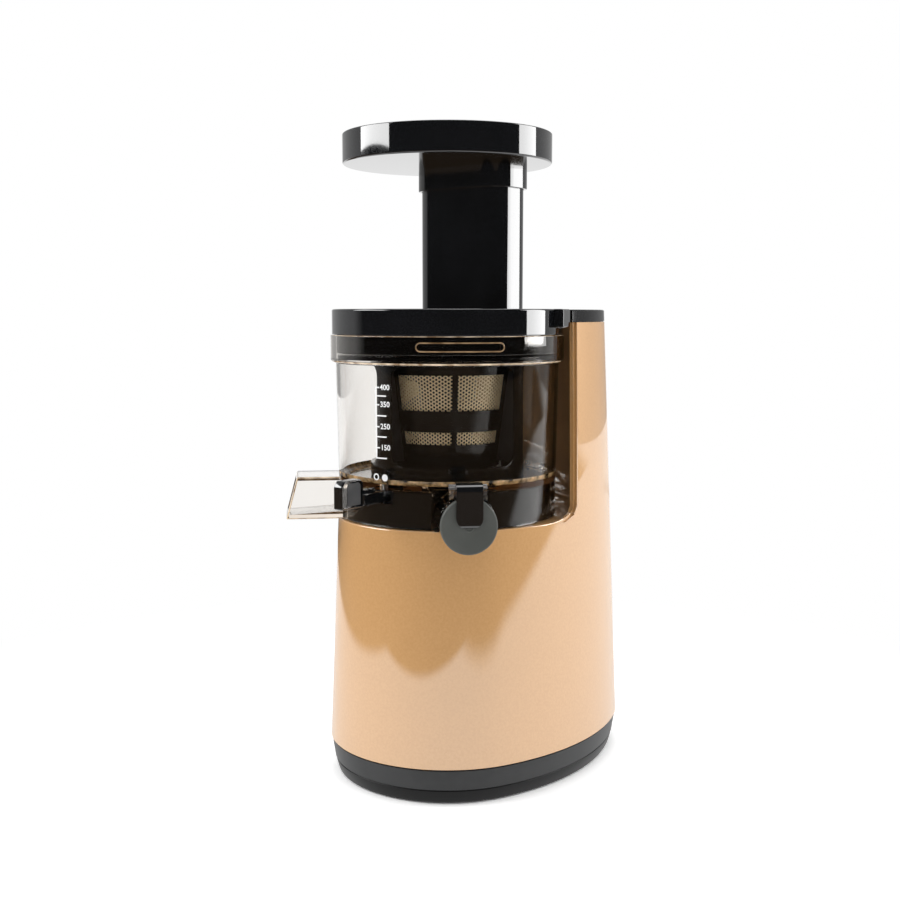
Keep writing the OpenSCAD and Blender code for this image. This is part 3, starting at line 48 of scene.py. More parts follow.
# Main sizes of the juicer, in millimetres; heights are measured from the worktop
DRAFT = math.tan(math.radians(2.4))
RECESS_DRAFT = math.tan(math.radians(1.2))
ARC_GAP = 66.6
END_R = 76.0
HALF_W = 83.0
JOINT_Z = 23.0
DECK_Z = 166.3
COLUMN_Z = 289.0
COLUMN_TOP = 297.0
WALL = 2.6
RECESS_R = 82.2
SWITCH_Y, SWITCH_Z = 33.3, 105.0
INLET_Y, INLET_Z = 141.8, 43.0
BOWL_Z = 167.0
BOWL_R = 69.0
FLANGE_R = 74.0
WRAP_R = 69.8
FLOOR_Z = 189.5
FLOOR_TOP = 192.5
FLANGE_Z = 264.6
FLANGE_TOP = 281.3
LID_Z = 281.5
LID_TOP = 297.3
TRAY_Z = 386.7
TRAY_TOP = 405.0
TUBE_Y = 26.0
TUBE_SIZE = (68.0, 35.5, 13.0)
SPOUT_R, SPOUT_Z = 16.5, 176.5
HINGE_X, HINGE_Z = 97.0, 197.0
DISC_Z = 175.1
SLOT_Z = 275.0
LEVER_Y = -57.0
LEVER_Z, LEVER_TOP = 181.7, 188.7
PULP_HOLE_R = 26.0
STRAINER_ENDS = ((33, 198.7), (41, 257))  # radius and height

# Azimuths in degrees, from the front towards +X
SPOUT_AZ = 45
CHUTE_AZ = -45
EAR_AZ = 107

# Camera of the photograph, in metres and degrees
CAMERA_AT = (0.4890, -0.6231, 0.2951)
CAMERA_TILT = 83.676
CAMERA_TURN = 38
CAMERA_LENS = 49.62


def shell_r(z):
    return END_R - (z - JOINT_Z) * DRAFT


def recess_r(z):
    return RECESS_R - (z - DECK_Z) * RECESS_DRAFT


def bowl_r(z):
    return BOWL_R + 1.8 * (z - BOWL_Z) / (FLANGE_Z - BOWL_Z)


def strainer_r(z):
    (r0, z0), (r1, z1) = STRAINER_ENDS
    return r0 + (r1 - r0) * (z - z0) / (z1 - z0)


def place_camera():
    bpy.ops.object.camera_add(
        location=CAMERA_AT, rotation=(math.radians(CAMERA_TILT), 0, math.radians(CAMERA_TURN))
    )
    camera = bpy.context.object
    camera.name = "photo_camera"
    camera.data.sensor_width = 36
    camera.data.lens = CAMERA_LENS
    camera.data.clip_end = 20
    bpy.context.scene.camera = camera


# ---------------------------------------- bench tools


def put_down():
    """Leaves edit mode and deselects everything."""
    if bpy.context.object and bpy.context.object.mode != "OBJECT":
        bpy.ops.object.mode_set(mode="OBJECT")
    bpy.ops.object.select_all(action="DESELECT")


def pick(piece):
    put_down()
    piece.select_set(True)
    bpy.context.view_layer.objects.active = piece


def settle(piece):
    """Applies the piece's place, turn and size to its mesh."""
    pick(piece)
    bpy.ops.object.transform_apply(location=True, rotation=True, scale=True)


def move(piece, x=0.0, y=0.0, z=0.0):
    """Moves a settled piece, in millimetres."""
    piece.location = (x * MM, y * MM, z * MM)
    settle(piece)


def tip(piece, x=0.0, y=0.0, z=0.0):
    """Turns a settled piece about the axes, in degrees."""
    piece.rotation_euler = [math.radians(angle) for angle in (x, y, z)]
    settle(piece)


def turn_to(piece, azimuth):
    """Turns a piece drawn along +X to an azimuth."""
    tip(piece, z=azimuth - 90)


def edit(piece, kind="VERT", select="DESELECT"):
    """Opens a piece in edit mode with all or none of it selected."""
    pick(piece)
    bpy.ops.object.mode_set(mode="EDIT")
    bpy.ops.mesh.select_mode(type=kind)
    bpy.ops.mesh.select_all(action=select)


def close_edit():
    bpy.ops.object.mode_set(mode="OBJECT")


def middle_of(edge):
    return (edge.verts[0].co + edge.verts[1].co) / 2 / MM


def select_edges(piece, wanted):
    """Selects the edges that wanted(middle, edge) names, middle in millimetres."""
    edit(piece, "EDGE")
    mesh = bmesh.from_edit_mesh(piece.data)
    for edge in mesh.edges:
        edge.select = bool(wanted(middle_of(edge), edge))
    mesh.select_flush_mode()
    bmesh.update_edit_mesh(piece.data)


def clear_beside(piece, wanted, gap):
    """Dissolves the points that lie close beside the wanted edges, so that a bevel there has room."""
    edit(piece)
    mesh = bmesh.from_edit_mesh(piece.data)
    rails = [edge for edge in mesh.edges if wanted(middle_of(edge), edge)]
    on_rail = {vertex for rail in rails for vertex in rail.verts}
    for vertex in mesh.verts:
        vertex.select = vertex not in on_rail and any(lies_beside(vertex.co, rail, gap) for rail in rails)
    bmesh.update_edit_mesh(piece.data)
    bpy.ops.mesh.dissolve_verts()
    close_edit()


def lies_beside(point, rail, gap):
    """True for a point within gap of an edge, in millimetres."""
    start, way = rail.verts[0].co, rail.verts[1].co - rail.verts[0].co
    share = min(max((point - start).dot(way) / way.length_squared, 0), 1)
    return (point - start - way * share).length < gap * MM


def face_out(piece):
    """Merges doubles and turns all faces outwards."""
    edit(piece, select="SELECT")
    bpy.ops.mesh.remove_doubles(threshold=0.001 * MM)
    bpy.ops.mesh.normals_make_consistent(inside=False)
    close_edit()


def fasten(piece, kind, **settings):
    """Adds a modifier and applies it."""
    pick(piece)
    modifier = piece.modifiers.new(kind.lower(), kind)
    for key, value in settings.items():
        setattr(modifier, key, value)
    bpy.ops.object.modifier_apply(modifier=modifier.name)


def smooth(piece, angle=32):
    """Smooth shading that keeps edges sharper than angle, with flat faces left flat beside their bevels."""
    pick(piece)
    bpy.ops.object.shade_smooth_by_angle(angle=math.radians(angle))
    fasten(piece, "WEIGHTED_NORMAL", keep_sharp=True, weight=100)


def cut(piece, tool, operation="DIFFERENCE"):
    fasten(piece, "BOOLEAN", object=tool, operation=operation, solver="EXACT")
    bpy.data.objects.remove(tool, do_unlink=True)


def weld(piece, tool):
    cut(piece, tool, "UNION")


def join(name, pieces):
    put_down()
    for piece in pieces:
        piece.select_set(True)
    bpy.context.view_layer.objects.active = pieces[0]
    bpy.ops.object.join()
    pieces[0].name = name
    return pieces[0]


def ease(piece, width, steps=3, angle=35):
    """Rounds the sharp edges of a piece."""
    fasten(
        piece, "BEVEL", width=width * MM, segments=steps, limit_method="ANGLE",
        angle_limit=math.radians(angle), harden_normals=False,
    )


# ---------------------------------------- basic forms


def rounded(corners, steps=4):
    """Outline whose corners (r, z, radius) are rounded."""
    points = []
    for i, corner in enumerate(corners):
        here = Vector(corner[:2])
        radius = corner[2] if len(corner) > 2 else 0
        if not radius:
            points.append(tuple(here))
            continue
        back = (Vector(corners[i - 1][:2]) - here).normalized()
        ahead = (Vector(corners[(i + 1) % len(corners)][:2]) - here).normalized()
        half = back.angle(ahead) / 2
        centre = here + (back + ahead).normalized() * radius / math.sin(half)
        start = here + back * radius / math.tan(half) - centre
        end = here + ahead * radius / math.tan(half) - centre
        first = math.atan2(start.y, start.x)
        sweep = math.atan2(start.x * end.y - start.y * end.x, start.dot(end))
        for k in range(steps + 1):
            a = first + sweep * k / steps
            points.append((centre.x + radius * math.cos(a), centre.y + radius * math.sin(a)))
    return points


def drawn_from(start, corners, steps=4):
    """Rounded outline that begins at a plain point, for a piece with a disc at its middle."""
    return [start] + rounded([start, *corners], steps)[1:]


def new_piece(name):
    """The primitive just added, under its name."""
    piece = bpy.context.object
    piece.name = name
    return piece


def close_ends(piece, bridge):
    """Closes the first and last ring of a piece: bridged to each other, or each with its own face."""
    edit(piece, "EDGE")
    bpy.ops.mesh.select_non_manifold()
    if bridge:
        bpy.ops.mesh.bridge_edge_loops()
    else:
        bpy.ops.mesh.edge_face_add()
    close_edit()
    face_out(piece)


def turned(name, outline, steps=144, hollow=True):
    """Outline of (radius, height) in millimetres, turned about the bowl axis ring by ring.
    A hollow outline is a closed loop; any other ends in two flat discs."""
    put_down()
    r, z = outline[0]
    bpy.ops.mesh.primitive_circle_add(vertices=steps, radius=r * MM, location=(0, 0, z * MM))
    piece = new_piece(name)
    settle(piece)
    edit(piece, select="SELECT")
    for (r0, z0), (r1, z1) in zip(outline, outline[1:]):
        bpy.ops.mesh.extrude_region_move(TRANSFORM_OT_translate={"value": (0, 0, (z1 - z0) * MM)})
        bpy.ops.transform.resize(value=(r1 / r0, r1 / r0, 1), center_override=(0, 0, z1 * MM))
    close_ends(piece, hollow)
    return piece


def cylinder(name, radius, low, high, steps=96, ease_by=0.0):
    """Upright cylinder on the bowl axis, in millimetres."""
    put_down()
    bpy.ops.mesh.primitive_cylinder_add(
        vertices=steps, radius=radius * MM, depth=(high - low) * MM, location=(0, 0, (low + high) / 2 * MM)
    )
    piece = new_piece(name)
    settle(piece)
    if ease_by:
        ease(piece, ease_by)
    return piece


def across(name, radius, half, steps):
    """Cylinder that lies along Y, centred on the origin."""
    rod = cylinder(name, radius, -half, half, steps)
    tip(rod, x=90)
    return rod


def along(name, radius, start, end, z, steps=96, ease_by=0.0):
    """Cylinder that lies along X at a height."""
    rod = cylinder(name, radius, start, end, steps, ease_by)
    tip(rod, y=90)
    move(rod, z=z)
    return rod


def block(name, low, high, ease_by=0.0):
    """Box between two corners, in millimetres."""
    put_down()
    bpy.ops.mesh.primitive_cube_add(size=1, location=[(a + b) / 2 * MM for a, b in zip(low, high)])
    piece = new_piece(name)
    piece.scale = [(b - a) * MM for a, b in zip(low, high)]
    settle(piece)
    if ease_by:
        edit(piece, "EDGE", "SELECT")
        bpy.ops.mesh.bevel(offset=ease_by * MM, segments=3, affect="EDGES")
        close_edit()
    return piece


def plate(name, points, low, high):
    """Flat outline in X and Y, drawn up from one height to another, in millimetres."""
    put_down()
    bpy.ops.mesh.primitive_circle_add(vertices=len(points), radius=0.01, fill_type="NGON")
    piece = new_piece(name)
    for vertex, (x, y) in zip(piece.data.vertices, points):
        vertex.co = (x * MM, y * MM, low * MM)
    edit(piece, "FACE", "SELECT")
    bpy.ops.mesh.extrude_region_move(TRANSFORM_OT_translate={"value": (0, 0, (high - low) * MM)})
    close_edit()
    face_out(piece)
    return piece


def side_profile(name, points, half):
    """Plate with its outline in X and Z, its thickness to both sides of Y = 0."""
    piece = plate(name, points, -half, half)
    tip(piece, x=90)
    return piece


def front_profile(name, points, near, far):
    """Plate with its outline in Y and Z, its thickness along X."""
    piece = plate(name, points, near, far)
    tip(piece, x=90, z=90)
    return piece


def round_rect(width, depth, corner, at=(0, 0)):
    """Points of a rectangle with round corners."""
    points = []
    for sx, sy, first in ((1, -1, -90), (1, 1, 0), (-1, 1, 90), (-1, -1, 180)):
        cx = at[0] + sx * (width / 2 - corner)
        cy = at[1] + sy * (depth / 2 - corner)
        for k in range(11):
            a = math.radians(first + 9 * k)
            points.append((cx + corner * math.cos(a), cy + corner * math.sin(a)))
    return points


def oval(r):
    """Plan of the body with end radius r: two end arcs and two side arcs, tangent to each other."""
    end_steps, side_steps = 72, 48
    cy = ARC_GAP / 2
    side_off = (cy * cy - (HALF_W - END_R) ** 2) / (2 * (HALF_W - END_R))
    side_add = HALF_W + side_off - END_R
    tangent = math.degrees(math.asin(cy / side_add))
    arcs = (
        ((-side_off, cy), r + side_add, -tangent, tangent, side_steps),
        ((0, ARC_GAP), r, tangent, 180 - tangent, end_steps),
        ((side_off, cy), r + side_add, 180 - tangent, 180 + tangent, side_steps),
        ((0, 0), r, 180 + tangent, 360 - tangent, end_steps),
    )
    points = []
    for centre, radius, first, last, steps in arcs:
        for k in range(steps):
            a = math.radians(first + (last - first) * k / steps)
            points.append((centre[0] + radius * math.cos(a), centre[1] + radius * math.sin(a)))
    return points


def oval_stack(name, levels, hollow=False):
    """Stack of body plans (end radius, height), drawn up ring by ring."""
    put_down()
    ring = oval(levels[0][0])
    bpy.ops.mesh.primitive_circle_add(vertices=len(ring), radius=0.05)
    piece = new_piece(name)
    for vertex, (x, y) in zip(piece.data.vertices, ring):
        vertex.co = (x * MM, y * MM, levels[0][1] * MM)
    edit(piece, select="SELECT")
    for r, z in levels[1:]:
        bpy.ops.mesh.extrude_region_move(TRANSFORM_OT_translate={"value": (0, 0, 0.1 * MM)})
        mesh = bmesh.from_edit_mesh(piece.data)
        for vertex, (x, y) in zip([v for v in mesh.verts if v.select], oval(r)):
            vertex.co = (x * MM, y * MM, z * MM)
        bmesh.update_edit_mesh(piece.data)
    close_ends(piece, hollow)
    return piece


# ---------------------------------------- finishes


def new_finish(name):
    """A new material, its node tree, its shader and its object coordinates."""
    material = bpy.data.materials.new(name)
    material.use_nodes = True
    tree = material.node_tree
    place = tree.nodes.new("ShaderNodeTexCoord").outputs["Object"]
    return material, tree, tree.nodes["Principled BSDF"], place


def noise(tree, place, scale, detail=2.0):
    node = tree.nodes.new("ShaderNodeTexNoise")
    node.inputs["Scale"].default_value = scale
    node.inputs["Detail"].default_value = detail
    tree.links.new(place, node.inputs["Vector"])
    return node.outputs["Fac"]


def ramp(tree, source, low, high, start=0.35, end=0.65, between=()):
    """Colour that goes from low to high, by way of the colours in between."""
    node = tree.nodes.new("ShaderNodeValToRGB")
    elements = node.color_ramp.elements
    elements[0].position, elements[1].position = start, end
    elements[0].color, elements[1].color = (*low, 1), (*high, 1)
    for at, colour in between:
        elements.new(at).color = (*colour, 1)
    tree.links.new(source, node.inputs["Fac"])
    return node.outputs["Color"]


def spread(tree, source, low, high):
    """A signal from 0 to 1, stretched to go from low to high."""
    node = tree.nodes.new("ShaderNodeMapRange")
    node.inputs["To Min"].default_value = low
    node.inputs["To Max"].default_value = high
    tree.links.new(source, node.inputs["Value"])
    return node.outputs["Result"]


def bump(tree, source, shader, strength, depth):
    """Relief with its depth in millimetres."""
    node = tree.nodes.new("ShaderNodeBump")
    node.inputs["Strength"].default_value = strength
    node.inputs["Distance"].default_value = depth * MM
    tree.links.new(source, node.inputs["Height"])
    tree.links.new(node.outputs["Normal"], shader.inputs["Normal"])


def plastic(
    name, low, high, rough, grain=900.0, depth=0.02, coat=0.0, metallic=0.0, specular=0.5, mottle=40.0,
    coat_ior=1.5,
):
    """Moulded plastic, paint or metal: a faint mottle in colour and gloss, and a fine grain."""
    material, tree, shader, place = new_finish(name)
    cloud = noise(tree, place, mottle, 3.0)
    tree.links.new(ramp(tree, cloud, low, high), shader.inputs["Base Color"])
    tree.links.new(spread(tree, cloud, *rough), shader.inputs["Roughness"])
    bump(tree, noise(tree, place, grain), shader, 0.25, depth)
    shader.inputs["Metallic"].default_value = metallic
    shader.inputs["Coat Weight"].default_value = coat
    shader.inputs["Coat Roughness"].default_value = 0.03
    shader.inputs["Coat IOR"].default_value = coat_ior
    shader.inputs["Specular IOR Level"].default_value = specular
    return material


def skirt_grey():
    """Satin grey of the base; below the line round it the colour goes nearly black, a painted shade of the
    tucked lower part that faces down to the worktop.
    """
    material, tree, shader, place = new_finish("skirt_grey")
    cloud = noise(tree, place, 40.0, 3.0)
    height = tree.nodes.new("ShaderNodeSeparateXYZ")
    tree.links.new(place, height.inputs["Vector"])
    # Painted shade: below about 9 mm the colour is mixed to nearly black, for the shade under the tucked
    # lower skirt
    painted_shade_band = tree.nodes.new("ShaderNodeMapRange")
    painted_shade_band.inputs["From Min"].default_value = 8.6 * MM
    painted_shade_band.inputs["From Max"].default_value = 9.4 * MM
    tree.links.new(height.outputs["Z"], painted_shade_band.inputs["Value"])
    colour = tree.nodes.new("ShaderNodeMix")
    colour.data_type = "RGBA"
    colour.inputs["A"].default_value = (0.0015, 0.0015, 0.0017, 1)
    upper = ramp(tree, cloud, (0.034, 0.035, 0.036), (0.046, 0.047, 0.048))
    tree.links.new(upper, colour.inputs["B"])
    tree.links.new(painted_shade_band.outputs["Result"], colour.inputs["Factor"])
    tree.links.new(colour.outputs["Result"], shader.inputs["Base Color"])
    tree.links.new(spread(tree, cloud, 0.36, 0.46), shader.inputs["Roughness"])
    bump(tree, noise(tree, place, 1400.0), shader, 0.25, 0.03)
    shader.inputs["Specular IOR Level"].default_value = 0.3
    return material


def clear_plastic():
    """Clear plastic that turns amber where it is thick."""
    material, tree, shader, place = new_finish("clear_bowl_plastic")
    cloud = noise(tree, place, 30.0)
    tint = ramp(tree, cloud, (0.992, 0.985, 0.972), (0.998, 0.993, 0.985))
    tree.links.new(tint, shader.inputs["Base Color"])
    tree.links.new(spread(tree, cloud, 0.0, 0.012), shader.inputs["Roughness"])
    shader.inputs["Transmission Weight"].default_value = 1.0
    shader.inputs["IOR"].default_value = 1.42
    body = tree.nodes.new("ShaderNodeVolumeAbsorption")
    body.inputs["Color"].default_value = (1.0, 0.74, 0.44, 1)
    body.inputs["Density"].default_value = 12.0
    tree.links.new(body.outputs[0], tree.nodes["Material Output"].inputs["Volume"])
    return material


def brushed_metal(name, low, high, rough=(0.22, 0.36), stretch=(30.0, 30.0, 600.0), metallic=1.0):
    """Metal with fine lines along one direction."""
    material, tree, shader, place = new_finish(name)
    grid = tree.nodes.new("ShaderNodeMapping")
    grid.inputs["Scale"].default_value = stretch
    tree.links.new(place, grid.inputs["Vector"])
    lines = noise(tree, grid.outputs["Vector"], 10.0, 3.0)
    tree.links.new(ramp(tree, lines, low, high), shader.inputs["Base Color"])
    tree.links.new(spread(tree, lines, *rough), shader.inputs["Roughness"])
    bump(tree, lines, shader, 0.2, 0.02)
    shader.inputs["Metallic"].default_value = metallic
    return material


def winding_wire():
    """Enamelled copper wire wound round: fine bands by height and radius."""
    material, tree, shader, place = new_finish("copper_winding")
    wave = tree.nodes.new("ShaderNodeTexWave")
    wave.wave_type = "RINGS"
    wave.rings_direction = "SPHERICAL"
    wave.inputs["Scale"].default_value = 260.0
    wave.inputs["Distortion"].default_value = 1.5
    tree.links.new(place, wave.inputs["Vector"])
    bands = wave.outputs["Fac"]
    colour = ramp(tree, bands, (0.28, 0.09, 0.03), (0.80, 0.34, 0.14), 0.2, 0.8)
    tree.links.new(colour, shader.inputs["Base Color"])
    bump(tree, bands, shader, 0.8, 0.4)
    shader.inputs["Metallic"].default_value = 0.7
    shader.inputs["Roughness"].default_value = 0.32
    return material


FINISHES = {
    "champagne_paint": plastic(
        "champagne_paint", (0.68, 0.370, 0.140), (0.72, 0.400, 0.158), (0.34, 0.42), 2600.0, 0.003,
        coat=1.0, metallic=0.15, mottle=700.0, coat_ior=2.6,
    ),
    "gloss_black": plastic(
        "gloss_black", (0.0030, 0.0034, 0.0040), (0.0042, 0.0046, 0.0054), (0.03, 0.06), 1500.0, 0.002,
        coat=1.0, specular=1.0,
    ),
    "matte_black": plastic(
        "matte_black", (0.0035, 0.0035, 0.004), (0.006, 0.006, 0.0065), (0.10, 0.16), 2500.0, 0.002
    ),
    "dark_grey": skirt_grey(),
    "clear_bowl": clear_plastic(),
    "silicone": plastic("dark_silicone", (0.012, 0.012, 0.013), (0.020, 0.020, 0.021), (0.5, 0.62)),
    "foot_rubber": plastic(
        "foot_rubber", (0.010, 0.010, 0.010), (0.017, 0.017, 0.017), (0.65, 0.8), 700.0, 0.06
    ),
    "steel": brushed_metal("turned_steel", (0.42, 0.42, 0.43), (0.62, 0.62, 0.64)),
    "gear_plastic": plastic("gear_plastic", (0.66, 0.66, 0.62), (0.76, 0.76, 0.72), (0.35, 0.45)),
    "cast_alloy": plastic(
        "cast_alloy", (0.34, 0.34, 0.35), (0.46, 0.46, 0.47), (0.45, 0.6), 500.0, 0.2, metallic=0.9
    ),
    "copper_wire": winding_wire(),
    "sintered_bronze": plastic(
        "sintered_bronze", (0.36, 0.20, 0.07), (0.50, 0.29, 0.11), (0.4, 0.55), 900.0, 0.1, metallic=1.0
    ),
    "board_green": plastic(
        "board_green", (0.010, 0.09, 0.035), (0.016, 0.13, 0.05), (0.25, 0.4), 1200.0, 0.03
    ),
    "auger_grey": plastic("auger_grey", (0.014, 0.014, 0.015), (0.022, 0.022, 0.023), (0.25, 0.36)),
}
MESH_STEEL = brushed_metal(
    "strainer_steel", (0.72, 0.56, 0.34), (0.88, 0.73, 0.49), (0.3, 0.45), (500.0, 500.0, 40.0), 0.35
)
PRINT_WHITE = plastic("print_white", (0.80, 0.80, 0.80), (0.88, 0.88, 0.88), (0.4, 0.5), 1500.0, 0.01)
CAP_GREY = plastic("cap_grey", (0.072, 0.077, 0.070), (0.088, 0.093, 0.085), (0.34, 0.44), 1500.0, 0.01)
MARK_GREY = plastic("grip_grey", (0.045, 0.046, 0.048), (0.085, 0.086, 0.088), (0.45, 0.6), 1600.0, 0.1)
# Opaque amber for the rims and chute of the clear bowl: the amber tint of thick plastic, its bright end a
# painted highlight of light leaving the edges
EDGE_TINT_AND_GLOW_PAINT = plastic(
    "amber_tint_and_painted_edge_glow", (0.22, 0.115, 0.04), (0.90, 0.72, 0.50), (0.12, 0.25), 500.0, coat=1.0, mottle=140.0
)
# Painted glints: a mottle from near black to bright amber, for the sparkles of light in the thick corner of
# the clear floor
PAINTED_CORNER_SPARKLES = plastic(
    "painted_amber_sparkles_floor_corner", (0.008, 0.005, 0.003), (1.0, 0.66, 0.32), (0.12, 0.25), 500.0, coat=1.0,
    mottle=170.0,
)
# Amber for the raised slot outline on the clear flange: the plastic's tint, with a painted highlight of light
# caught by the raised edges
SLOT_TINT_AND_GLOW_PAINT = plastic(
    "amber_tint_and_painted_slot_glow", (0.13, 0.075, 0.035), (0.36, 0.235, 0.125), (0.15, 0.3), 500.0, coat=1.0, mottle=140.0
)


def paint(piece, material):
    piece.data.materials.clear()
    piece.data.materials.append(material)


def hand_over(piece, body, slot, *nodes, material=None):
    """Finishes a new piece: its material, its body and the CAD nodes that it stands for."""
    paint(piece, material or FINISHES[slot])
    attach(piece, body)
    if nodes:
        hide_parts(*nodes)


# ---------------------------------------- body


def recess_tool(name):
    """The space of the bowl recess above the deck."""
    top = 340
    corners = [(recess_r(DECK_Z), DECK_Z, 9), (recess_r(top), top)]
    return turned(name, drawn_from((20, DECK_Z), corners, 10), 240, hollow=False)


def recess_lip(middle, edge):
    """True for the sharp edge round the bowl recess of the housing."""
    if len(edge.link_faces) != 2:
        return False
    sharp = edge.calc_face_angle(0) > math.radians(18)
    return sharp and middle.z > DECK_Z - 1 and middle.xy.length > 60


def open_ends(shell):
    """Takes away the flat faces at the bottom of the housing and at the top of its column."""
    edit(shell, "FACE")
    mesh = bmesh.from_edit_mesh(shell.data)
    for face in mesh.faces:
        height = face.calc_center_median().z / MM
        low = face.normal.z < -0.9 and height < JOINT_Z + 1
        top = face.normal.z > 0.9 and height > COLUMN_Z - 1
        face.select = low or top
    bmesh.update_edit_mesh(shell.data)
    bpy.ops.mesh.delete(type="FACE")
    close_edit()


def housing_shell():
    shell = oval_stack("housing_shell", [(shell_r(JOINT_Z), JOINT_Z), (shell_r(COLUMN_Z), COLUMN_Z)])
    cut(shell, recess_tool("recess_cutter"))
    low = (-100, SWITCH_Y - 11.2, SWITCH_Z - 17.2)
    high = (-60, SWITCH_Y + 11.2, SWITCH_Z + 17.2)
    cut(shell, block("switch_cutter", low, high))
    inlet = across("inlet_cutter", 7, 12, 48)
    move(inlet, y=INLET_Y, z=INLET_Z)
    cut(shell, inlet)
    cut(shell, cylinder("neck_cutter", 13.3, 150, 180, 64))
    open_ends(shell)
    edit(shell, select="SELECT")
    bpy.ops.mesh.remove_doubles(threshold=0.15 * MM)
    close_edit()
    # The lip is cleaned of close points before it is rounded
    select_edges(shell, recess_lip)
    bpy.ops.mesh.select_mode(type="VERT")
    bpy.ops.mesh.remove_doubles(threshold=0.5 * MM)
    close_edit()
    clear_beside(shell, recess_lip, 1.25)
    select_edges(shell, recess_lip)
    bpy.ops.mesh.bevel(offset=0.8 * MM, segments=4, affect="EDGES", clamp_overlap=False)
    close_edit()
    fasten(shell, "SOLIDIFY", thickness=WALL * MM, offset=-1)
    smooth(shell, 30)
    hand_over(shell, "base", "champagne_paint", "housing")


def column_top():
    """Black cap on the column, its upper edge rounded."""
    r0, r1, edge = shell_r(COLUMN_Z) - 0.1, shell_r(COLUMN_TOP), 1.2
    levels = [(r0 - 0.5, COLUMN_Z + 0.05), (r0 - 0.5, COLUMN_Z + 0.4), (r0, COLUMN_Z + 0.5)]
    levels.append((r1, COLUMN_TOP - edge))
    for a in (0.4, 0.8, 1.2, math.pi / 2):
        levels.append((r1 - edge + edge * math.cos(a), COLUMN_TOP - edge + edge * math.sin(a)))
    cap = oval_stack("column_top", levels)
    cut(cap, recess_tool("cap_cutter"))
    smooth(cap, 30)
    hand_over(cap, "base", "gloss_black", "column_cap", material=FINISHES["matte_black"])


def skirt():
    """Skirt of the base: a tucked wall with a line round it at a third of its height."""
    section = [
        (72.6, 23.0), (73.4, 22.9), (73.4, 22.0), (75.2, 21.9), (75.3, 21.5), (73.45, 9.8), (72.8, 9.5),
        (72.6, 8.9), (72.95, 8.5), (72.6, 6.4), (71.4, 2.4), (70.6, 0.9), (69.6, 0.6), (67.6, 0.6),
        (70.4, 12.0),
    ]
    ring = oval_stack("base_skirt_ring", section, hollow=True)
    smooth(ring, 40)
    hand_over(ring, "base", "dark_grey", "base_skirt")


# ---------------------------------------- lid and tray


def tube_prism(name, grow, low, high):
    """The feed tube's plan, grown all round, drawn up from one height to another."""
    width, depth, corner = TUBE_SIZE
    outline = round_rect(width + 2 * grow, depth + 2 * grow, max(corner + grow, 0.5), (0, TUBE_Y))
    return plate(name, outline, low, high)


def lid_and_tube():
    corners = [
        (73.2, LID_TOP, 1.1), (73.2, LID_Z, 0.5), (70.2, LID_Z), (70.2, 270.0, 0.4),
        (67.8, 270.0, 0.4), (67.8, 294.3, 1.0), (4, 294.3),
    ]
    lid = turned("lid_and_tube", drawn_from((4, LID_TOP), corners), 192, hollow=False)
    weld(lid, tube_prism("tube_outside", 0, 278.5, TRAY_Z))
    cut(lid, tube_prism("tube_inside", -WALL, 270, TRAY_Z + 10))
    weld(lid, cylinder("auger_hub", 7.2, 278.5, 295.8, 48))
    cut(lid, cylinder("auger_hub_bore", 5.0, 270, 294.3, 48))
    ear = block("lock_ear", (69, -8, 285.5), (78.6, 8, LID_TOP), 1.2)
    turn_to(ear, EAR_AZ)
    weld(lid, ear)
    smooth(lid, 30)
    hand_over(lid, "lid", "gloss_black", "lid")


def food_tray():
    inside = TRAY_Z + WALL
    corners = [
        (65.6, TRAY_Z, 1.3), (65.6, TRAY_TOP, 0.7), (63.0, TRAY_TOP, 0.7), (63.0, inside, 2.2), (4, inside),
    ]
    tray = turned("food_tray", drawn_from((4, TRAY_Z), corners), 192, hollow=False)
    collar = tube_prism("collar_outside", 2.25, TRAY_Z - 14, TRAY_Z + 1)
    ease(collar, 0.5, 2)
    weld(tray, collar)
    cut(tray, tube_prism("collar_inside", 0.25, TRAY_Z - 20, TRAY_Z))
    cut(tray, tube_prism("food_hole", -WALL, TRAY_Z - 20, TRAY_Z + 30))
    smooth(tray, 30)
    hand_over(tray, "tray", "gloss_black", "tray")


# ---------------------------------------- bowl


def mould_chute(bowl):
    """Pulp chute with its hollow, the slot that the gate slides in, and the hole down into it."""
    low, high = 166.9, FLOOR_Z + 0.1
    outside = [(14.1, low), (103, low), (96, 193.3), (68.2, 193.3), (68.2, high), (14.1, high)]
    chute = side_profile("chute_outside", outside, 16.5)
    ease(chute, 0.8)
    turn_to(chute, CHUTE_AZ)
    weld(bowl, chute)
    inside = [
        (16.6, 174.4), (103, 169.4), (140, 169.4), (140, 190.9), (68.5, 190.9), (68.5, FLOOR_Z),
        (16.6, FLOOR_Z),
    ]
    hollow = side_profile("chute_inside", inside, 14)
    slot = block("gate_slot_cutter", (11.6, 0, 183.9), (61.8, 33, FLOOR_Z))
    pulp_hole = cylinder("pulp_hole_cutter", 5.5, 186, 196, 48)
    move(pulp_hole, x=PULP_HOLE_R)
    for tool in (hollow, slot, pulp_hole):
        turn_to(tool, CHUTE_AZ)
        cut(bowl, tool)


